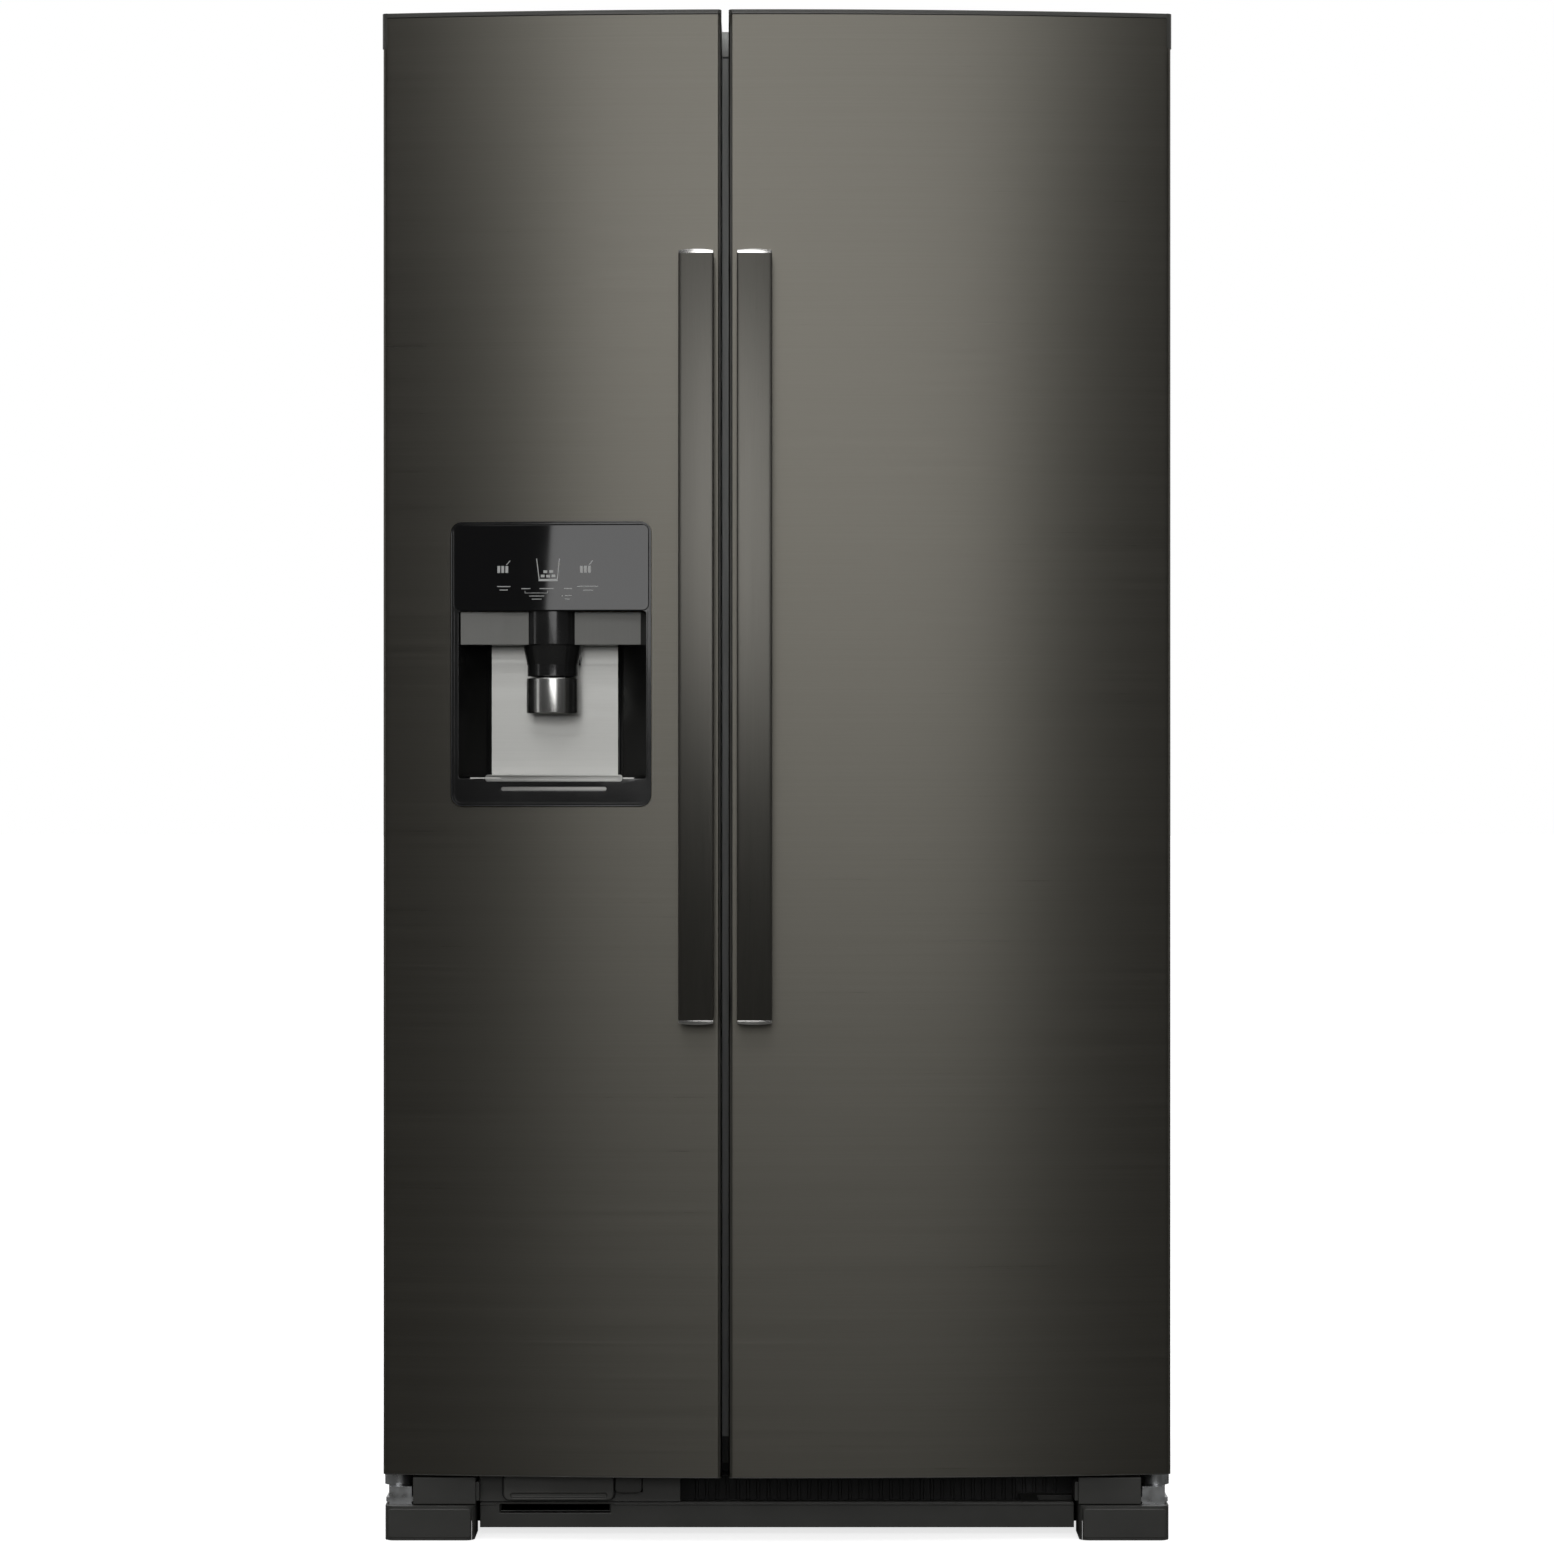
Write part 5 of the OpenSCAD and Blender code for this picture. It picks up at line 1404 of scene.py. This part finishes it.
# %% Evaporator: thin folded fins on a long bent tube
def evaporator_coil():
    slot = "evaporator_aluminium"
    levels = [560 + 52 * k for k in range(7)]
    fin = box_piece("fin", (-372 * MM, 306 * MM, 530 * MM), (-371.4 * MM, 358 * MM, 900 * MM))
    fold = box_piece("fold", (-372 * MM, 306 * MM, 530 * MM), (-369.5 * MM, 306.6 * MM, 900 * MM))
    parts = [row("fins", joined("folded_fin", [fin, fold]), 37, (7.5 * MM, 0, 0), slot)]
    for y in (320, 344):
        parts.append(tube("run", serpentine(-373, -99, levels, y), RUN_R, 20 * MM, slot))
    return placed(smooth(joined("evaporator_coil", parts)), "cabinet", slot, "evaporator")


evaporator_coil()

# %% [markdown]
# The screw in the ice bin is a thick wire wound round a shaft. Its path is a helix, so a
# handful of turns and one pitch describe the whole shape.

# %% Ice screw
def ice_screw():
    slot = "screw_steel"
    low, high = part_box("ice_auger")
    axis = (-240 * MM, 1248 * MM)
    reach, turns, around = HELIX_R, HELIX_TURNS, HELIX_STEPS
    first, last = low.y + 12 * MM, high.y - 30 * MM
    path = [(axis[0], first, axis[1])]
    for k in range(int(turns * around) + 1):
        part = k / (turns * around)
        angle = 2 * pi * turns * part
        path.append((axis[0] + reach * cos(angle), first + (last - first) * part,
                     axis[1] + reach * sin(angle)))
    path.append((axis[0], last, axis[1]))
    helix = tube("helix", path, 3.6 * MM, 0.002 * MM, slot, 12)
    rings = [[(axis[0] + r * MM * cos(k * pi / 18), y, axis[1] + r * MM * sin(k * pi / 18))
              for k in range(36)]
             for y, r in ((low.y, 4.6), (low.y + 1.4 * MM, 6), (high.y - 1.4 * MM, 6),
                          (high.y, 4.6))]
    return placed(smooth(outward(joined("ice_screw_wire", [helix, loft("shaft", rings)]))),
                  "ice_screw", slot, "ice_auger")


ice_screw()

# %% [markdown]
# ## Screws
# One head is modelled at a radius of one unit. The tree puts it on points that carry two named
# attributes: the way the head faces and its radius. A seeded random turn leaves each recess at
# its own angle, as a screwdriver does.

# %% The fastener tree
def build_fasteners():
    nodes = tree("fasteners",
                 [("Head", "Object", None), ("Seed", "Int", 0), ("Material", "Material", None)])
    new, link = nodes.nodes.new, nodes.links.new
    given = new("NodeGroupInput").outputs
    attributes = {}
    for label, kind in (("facing", "FLOAT_VECTOR"), ("size", "FLOAT")):
        reader = new("GeometryNodeInputNamedAttribute")
        reader.data_type = kind
        reader.inputs["Name"].default_value = label
        attributes[label] = reader.outputs["Attribute"]
    stand = new("FunctionNodeAlignRotationToVector")
    stand.axis = "Z"
    link(attributes["facing"], stand.inputs["Vector"])
    angle = new("FunctionNodeRandomValue")
    angle.data_type = "FLOAT"
    angle.inputs[3].default_value = 2 * pi
    link(given["Seed"], angle.inputs["Seed"])
    spin = new("ShaderNodeCombineXYZ")
    link(angle.outputs[1], spin.inputs["Z"])
    as_turn = new("FunctionNodeEulerToRotation")
    link(spin.outputs[0], as_turn.inputs[0])
    both = new("FunctionNodeRotateRotation")
    both.rotation_space = "LOCAL"
    link(stand.outputs[0], both.inputs[0])
    link(as_turn.outputs[0], both.inputs[1])
    head = new("GeometryNodeObjectInfo")
    link(given["Head"], head.inputs["Object"])
    copies = new("GeometryNodeInstanceOnPoints")
    link(given["Geometry"], copies.inputs["Points"])
    link(head.outputs["Geometry"], copies.inputs["Instance"])
    link(both.outputs[0], copies.inputs["Rotation"])
    link(attributes["size"], copies.inputs["Scale"])
    finish_tree(nodes, copies.outputs[0], given["Material"])
    return nodes


FASTENERS = build_fasteners()


def screw_head(flat):
    """A domed head of radius one with a cross recess; flat is its height."""
    profile = [(0, -0.02), (0.94, -0.02), (1, 0.06), (1, 0.45 * flat), (0.86, 0.8 * flat),
               (0.55, 0.96 * flat), (0, flat)]
    head = turned("head", profile, (0, 0, 0), 28)
    arms = [box_piece("arm", (-0.5, -0.1, flat * 0.45), (0.5, 0.1, 2)),
            box_piece("arm", (-0.1, -0.5, flat * 0.45), (0.1, 0.5, 2))]
    return cut(head, arms)


def screws_on(name, head, points, facing_way, size, seed):
    mesh = bpy.data.meshes.new(name)
    mesh.from_pydata(points, [], [])
    way = mesh.attributes.new("facing", "FLOAT_VECTOR", "POINT")
    way.data.foreach_set("vector", [c for _ in points for c in facing_way])
    wide = mesh.attributes.new("size", "FLOAT", "POINT")
    wide.data.foreach_set("value", [size] * len(points))
    return grown(as_object(name, mesh), FASTENERS, {
        "Head": head, "Seed": seed, "Material": SLOT_FINISH["screw_steel"]})


def all_screws():
    tall, low = screw_head(0.5), screw_head(0.38)
    leaf = [(s * 424 * MM, y * MM, LEAF_TOP) for s in (-1, 1) for y in (-262, -228, -194)]
    bracket = [(s * x * MM, -292 * MM, 48 * MM) for s in (-1, 1) for x in (366, 384)]
    rear = [(x * MM, REAR_COVER_Y, z * MM) for x in (-436, -150, 150, 436) for z in (40, 224)]
    parts = [screws_on("leaf_screws", tall, leaf, (0, 0, 1), SCREW_R, 3),
             screws_on("bracket_screws", tall, bracket, (0, 0, 1), SCREW_R, 5),
             screws_on("rear_screws", low, rear, (0, 1, 0), COVER_SCREW_R, 8)]
    bpy.data.objects.remove(tall)
    bpy.data.objects.remove(low)
    return placed(smooth(joined("screw_heads", parts)), "cabinet", "screw_steel", "screws")


all_screws()

# %% [markdown]
# ## Fans
# A fan is one twisted blade set round a hub. The blade is lofted from sections that turn as
# they go outward, and a small tree places equal copies round the axis.

# %% The ring tree and both fans
def build_ring():
    nodes = tree("equal_ring",
                 [("Unit", "Object", None), ("Count", "Int", 5), ("Material", "Material", None)])
    new, link = nodes.nodes.new, nodes.links.new
    given = new("NodeGroupInput").outputs
    points = new("GeometryNodeMeshLine")
    points.inputs["Offset"].default_value = (0, 0, 0)
    link(given["Count"], points.inputs["Count"])
    step = maths(nodes, "DIVIDE", 2 * pi, given["Count"])
    angle = maths(nodes, "MULTIPLY", step, new("GeometryNodeInputIndex").outputs[0])
    about = new("ShaderNodeCombineXYZ")
    link(angle, about.inputs["Z"])
    turn = new("FunctionNodeEulerToRotation")
    link(about.outputs[0], turn.inputs[0])
    unit = new("GeometryNodeObjectInfo")
    link(given["Unit"], unit.inputs["Object"])
    copies = new("GeometryNodeInstanceOnPoints")
    link(points.outputs[0], copies.inputs["Points"])
    link(unit.outputs["Geometry"], copies.inputs["Instance"])
    link(turn.outputs[0], copies.inputs["Rotation"])
    finish_tree(nodes, copies.outputs[0], given["Material"])
    return nodes


RING = build_ring()


def fan_wheel(name, body, node, slot, blades, hub_r, along_x):
    low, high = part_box(node)
    centre = (low + high) / 2
    depth = (high.x - low.x) if along_x else (high.y - low.y)
    tip = ((high.z - low.z) / 2) - 1 * MM
    sections = []
    for k in range(7):
        part = k / 6
        r = hub_r - 3 * MM + (tip - hub_r + 3 * MM) * part
        pitch = radians(52 - 24 * part)
        half = (depth * 0.44) / sin(pitch) * (0.9 + 0.1 * part)
        ring = []
        for u, v in ((-1, 0), (-0.5, 1), (0, 1.25), (0.5, 1), (1, 0), (0.5, -1), (0, -1.1),
                     (-0.5, -1)):
            along, thick = u * half, v * 0.8 * MM + 1.6 * MM * (1 - u * u)
            ring.append((r, along * cos(pitch) - thick * sin(pitch),
                         along * sin(pitch) + thick * cos(pitch)))
        sections.append(ring)
    blade = outward(loft("blade", sections))
    wheel = grown(as_object("blades", bpy.data.meshes.new("blades")), RING, {
        "Unit": blade, "Count": blades, "Material": SLOT_FINISH[slot]})
    bpy.data.objects.remove(blade)
    profile = [(2.6 * MM, -depth / 2), (hub_r - 1.5 * MM, -depth / 2),
               (hub_r, -depth / 2 + 1.5 * MM),
               (hub_r, depth / 2 - 3 * MM), (hub_r - 3 * MM, depth / 2 - 0.6 * MM),
               (2.6 * MM, depth / 2)]
    hub = turned("hub", profile + [profile[0]], (0, 0, 0), 48)
    fan = smooth(outward(joined(name, [wheel, hub])))
    for vertex in fan.data.vertices:
        x, y, z = vertex.co
        vertex.co = (centre.x + z, centre.y + x, centre.z + y) if along_x else (
            centre.x + y, centre.y + z, centre.z + x)
    return placed(fan, body, slot, node)


fan_wheel("condenser_fan_blades", "condenser_fan_wheel", "condenser_fan", "black_plastic", 5,
          16 * MM, True)
fan_wheel("evaporator_fan_blades", "evaporator_fan_wheel", "evaporator_fan", "shelf_plastic", 7,
          14 * MM, False)

# %% [markdown]
# ## The back
# The vents of the rear cover get a small hood beside each slot, which turns the air. The row
# tree does both blocks.

# %% Vent hoods
def vent_hoods():
    parts = []
    for first in (-330, 60):
        hood = facing("hood", rounded((first + 9.2) * MM, (first + 13.2) * MM, 68 * MM, 192 * MM,
                                      1.8 * MM, 4),
                      427.6 * MM, 429.7 * MM)
        parts.append(row("hoods", softened(hood, 0.7 * MM), 12, (22 * MM, 0, 0), "black_plastic"))
    return placed(smooth(joined("vent_hoods", parts)), "cabinet", "black_plastic")


vent_hoods()

# %% [markdown]
# The covers over the top hinges are soft shells with a neck that reaches out over each pin.

# %% Hinge covers
def hinge_shells():
    top, roof = 1766 * MM, ROOF_Z
    parts = []
    for s in (-1, 1):
        def sides(a, b):
            return tuple(sorted((s * a * MM, s * b * MM)))
        x0, x1 = sides(402, 450)
        shell = softened(upright("shell", rounded(x0, x1, -281 * MM, -172 * MM, 7 * MM),
                                 roof, top), 2.2 * MM, 3, 60)
        h0, h1 = sides(404, 448)
        hollow = box_piece("hollow", (h0, -279 * MM, roof - MM), (h1, -174 * MM, top - 2.4 * MM))
        n0, n1 = sides(430.3, 446.7)
        way_in = box_piece("way_in", (n0, -283 * MM, roof - MM), (n1, -278 * MM, 1751 * MM))
        neck_plan = [(s * PIN_X + 9.5 * MM * cos(a), PIN_Y + 9.5 * MM * sin(a))
                     for a in (-pi * k / 24 for k in range(25))]
        neck_plan += [(s * PIN_X - 9.5 * MM, -280 * MM), (s * PIN_X + 9.5 * MM, -280 * MM)]
        neck = softened(upright("neck", neck_plan, 1751 * MM, 1758 * MM), 1.0 * MM, 2, 60)
        parts += [cut(shell, [hollow, way_in]), neck]
    return placed(smooth(outward(joined("hinge_shells", parts))), "cabinet", "dark_plastic",
                  "hinge_covers")


hinge_shells()
print("rods, screws, fans and covers done")

# %% [markdown]
# ## Drawer pulls
# Each drawer has a rolled pull along the top of its front. One section, a hook that fingers can
# reach under, is swept from side to side.

# %% Pulls
def drawer_pull(name, body, node, slot):
    low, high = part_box(node)
    hook = [(0.0, 0.0), (0.0, -13.0), (1.6, -14.6), (3.2, -13.6), (3.2, -4.6), (6.5, -4.0),
            (6.5, 0.0),
            (5.6, 0.8), (0.8, 0.8)]
    rings = []
    steps = 24
    for k in range(steps + 1):
        u = 2 * k / steps - 1
        x = (low.x + high.x) / 2 + u * ((high.x - low.x) / 2 - 5 * MM)
        out = 1.1 * MM * (1 - u ** 8)
        rings.append([(x, low.y + y * MM - out, high.z - 1 * MM + z * MM) for y, z in hook])
    return placed(smooth(outward(loft(name, rings)), 50), body, slot)


for pull, body, node in (("upper_pull", "upper_drawer", "crisper_upper"),
                         ("lower_pull", "lower_drawer", "crisper_lower"),
                         ("basket_pull", "freezer_drawer", "freezer_basket")):
    drawer_pull(pull, body, node, "shelf_plastic")


# %% [markdown]
# ## Floor, light and camera
# The floor is a plain pale sheet that fades into the pale surroundings. It is seen as white,
# but it sends little light back onto the steel, which keeps the lower part of the doors dark.
# One tall softbox stands behind the camera and gives the doors their column of light. The
# surroundings are bright behind the object and dim in front, which draws the thin light lines
# along the outer edges.

# %% Floor and surroundings
def node_in(nodes, kind, **values):
    node = nodes.nodes.new(kind)
    for label, value in values.items():
        node.inputs[label.replace("_", " ")].default_value = value
    return node


def build_floor():
    floor = mesh_of("floor", [(-30, -12, 0), (30, -12, 0), (30, 60, 0), (-30, 60, 0),
                              (-30, -12, -0.02), (30, -12, -0.02), (30, 60, -0.02),
                              (-30, 60, -0.02)],
                    [(0, 1, 2, 3), (4, 5, 6, 7), (0, 1, 5, 4), (1, 2, 6, 5), (2, 3, 7, 6),
                     (3, 0, 4, 7)])
    paint = bpy.data.materials.new("pale_floor")
    paint.use_nodes = True
    nodes = paint.node_tree
    nodes.nodes.clear()
    seen = node_in(nodes, "ShaderNodeBsdfDiffuse", Color=(0.9, 0.9, 0.9, 1))
    glow = node_in(nodes, "ShaderNodeEmission", Color=(1, 1, 1, 1), Strength=FLOOR_GLOW)
    dim = node_in(nodes, "ShaderNodeBsdfDiffuse", Color=(0.12, 0.12, 0.115, 1))
    both, mix = nodes.nodes.new("ShaderNodeAddShader"), nodes.nodes.new("ShaderNodeMixShader")
    path, out = nodes.nodes.new("ShaderNodeLightPath"), nodes.nodes.new("ShaderNodeOutputMaterial")
    nodes.links.new(seen.outputs[0], both.inputs[0])
    nodes.links.new(glow.outputs[0], both.inputs[1])
    nodes.links.new(path.outputs["Is Camera Ray"], mix.inputs[0])
    nodes.links.new(dim.outputs[0], mix.inputs[1])
    nodes.links.new(both.outputs[0], mix.inputs[2])
    nodes.links.new(mix.outputs[0], out.inputs[0])
    floor.data.materials.append(paint)
    return floor


def build_surroundings():
    world = bpy.data.worlds.new("studio")
    scene.world = world
    world.use_nodes = True
    nodes = world.node_tree
    nodes.nodes.clear()
    split = nodes.nodes.new("ShaderNodeSeparateXYZ")
    nodes.links.new(nodes.nodes.new("ShaderNodeTexCoord").outputs["Generated"], split.inputs[0])
    behind = nodes.nodes.new("ShaderNodeMapRange")
    behind.interpolation_type = "SMOOTHSTEP"
    for label, value in (("From Min", -0.25), ("From Max", 0.6), ("To Min", FRONT_DIM),
                         ("To Max", BACK_BRIGHT)):
        behind.inputs[label].default_value = value
    nodes.links.new(split.outputs[1], behind.inputs["Value"])
    above = nodes.nodes.new("ShaderNodeMapRange")
    for label, value in (("From Min", -0.2), ("From Max", 0.9), ("To Min", 0.0), ("To Max", 0.35)):
        above.inputs[label].default_value = value
    nodes.links.new(split.outputs[2], above.inputs["Value"])
    level = maths(nodes, "ADD", behind.outputs[0], above.outputs[0])
    soft, white = node_in(nodes, "ShaderNodeBackground"), node_in(nodes, "ShaderNodeBackground",
                                                                  Strength=1.0)
    white.inputs["Color"].default_value = (1, 1, 1, 1)
    nodes.links.new(level, soft.inputs["Strength"])
    mix, out = nodes.nodes.new("ShaderNodeMixShader"), nodes.nodes.new("ShaderNodeOutputWorld")
    path = nodes.nodes.new("ShaderNodeLightPath")
    nodes.links.new(path.outputs["Is Camera Ray"], mix.inputs[0])
    nodes.links.new(soft.outputs[0], mix.inputs[1])
    nodes.links.new(white.outputs[0], mix.inputs[2])
    nodes.links.new(mix.outputs[0], out.inputs[0])


def softbox(name, centre, target, size, watts, turn=0.0):
    light = bpy.data.lights.new(name, "AREA")
    light.shape = "RECTANGLE"
    light.size, light.size_y = size
    light.energy = watts
    lamp = bpy.data.objects.new(name, light)
    scene.collection.objects.link(lamp)
    lamp.location = centre
    lamp.rotation_euler = (Vector(target) - Vector(centre)).to_track_quat("-Z", "Y").to_euler()
    lamp.rotation_euler.rotate_axis("Z", turn)
    return lamp


FLOOR_GLOW = 0.75
BOX_Y = -6.4
FRONT_DIM = 0.02
BACK_BRIGHT = 0.9
build_floor()
build_surroundings()
softbox("front_softbox", (0.08, BOX_Y, 1.78), (0.08, 0, 1.78), (3.05, 1.5), 40, radians(-8))
softbox("high_softbox", (0, BOX_Y, 4.6), (0, 0, 4.6), (4.4, 2.3), 82)
softbox("top_softbox", (0, -0.6, 4.0), (0, -0.2, 0), (4, 3), 60)
softbox("left_strip", (-4.2, -2.0, 1.2), (0, 0, 1.0), (0.5, 2.4), 4)
softbox("right_strip", (4.2, -2.0, 1.2), (0, 0, 1.0), (0.5, 2.4), 4)

# %% Camera
CAMERA_DISTANCE = 5.0
camera = bpy.data.objects.new("camera", bpy.data.cameras.new("camera"))
scene.collection.objects.link(camera)
camera.data.lens = 101.2
camera.data.sensor_width = 36
camera.location = (0, FACE_Y - CAMERA_DISTANCE, 0.878)
camera.rotation_euler = (pi / 2, 0, 0)
scene.camera = camera
scene.view_settings.view_transform = "Standard"
print("camera at", tuple(round(v, 3) for v in camera.location))
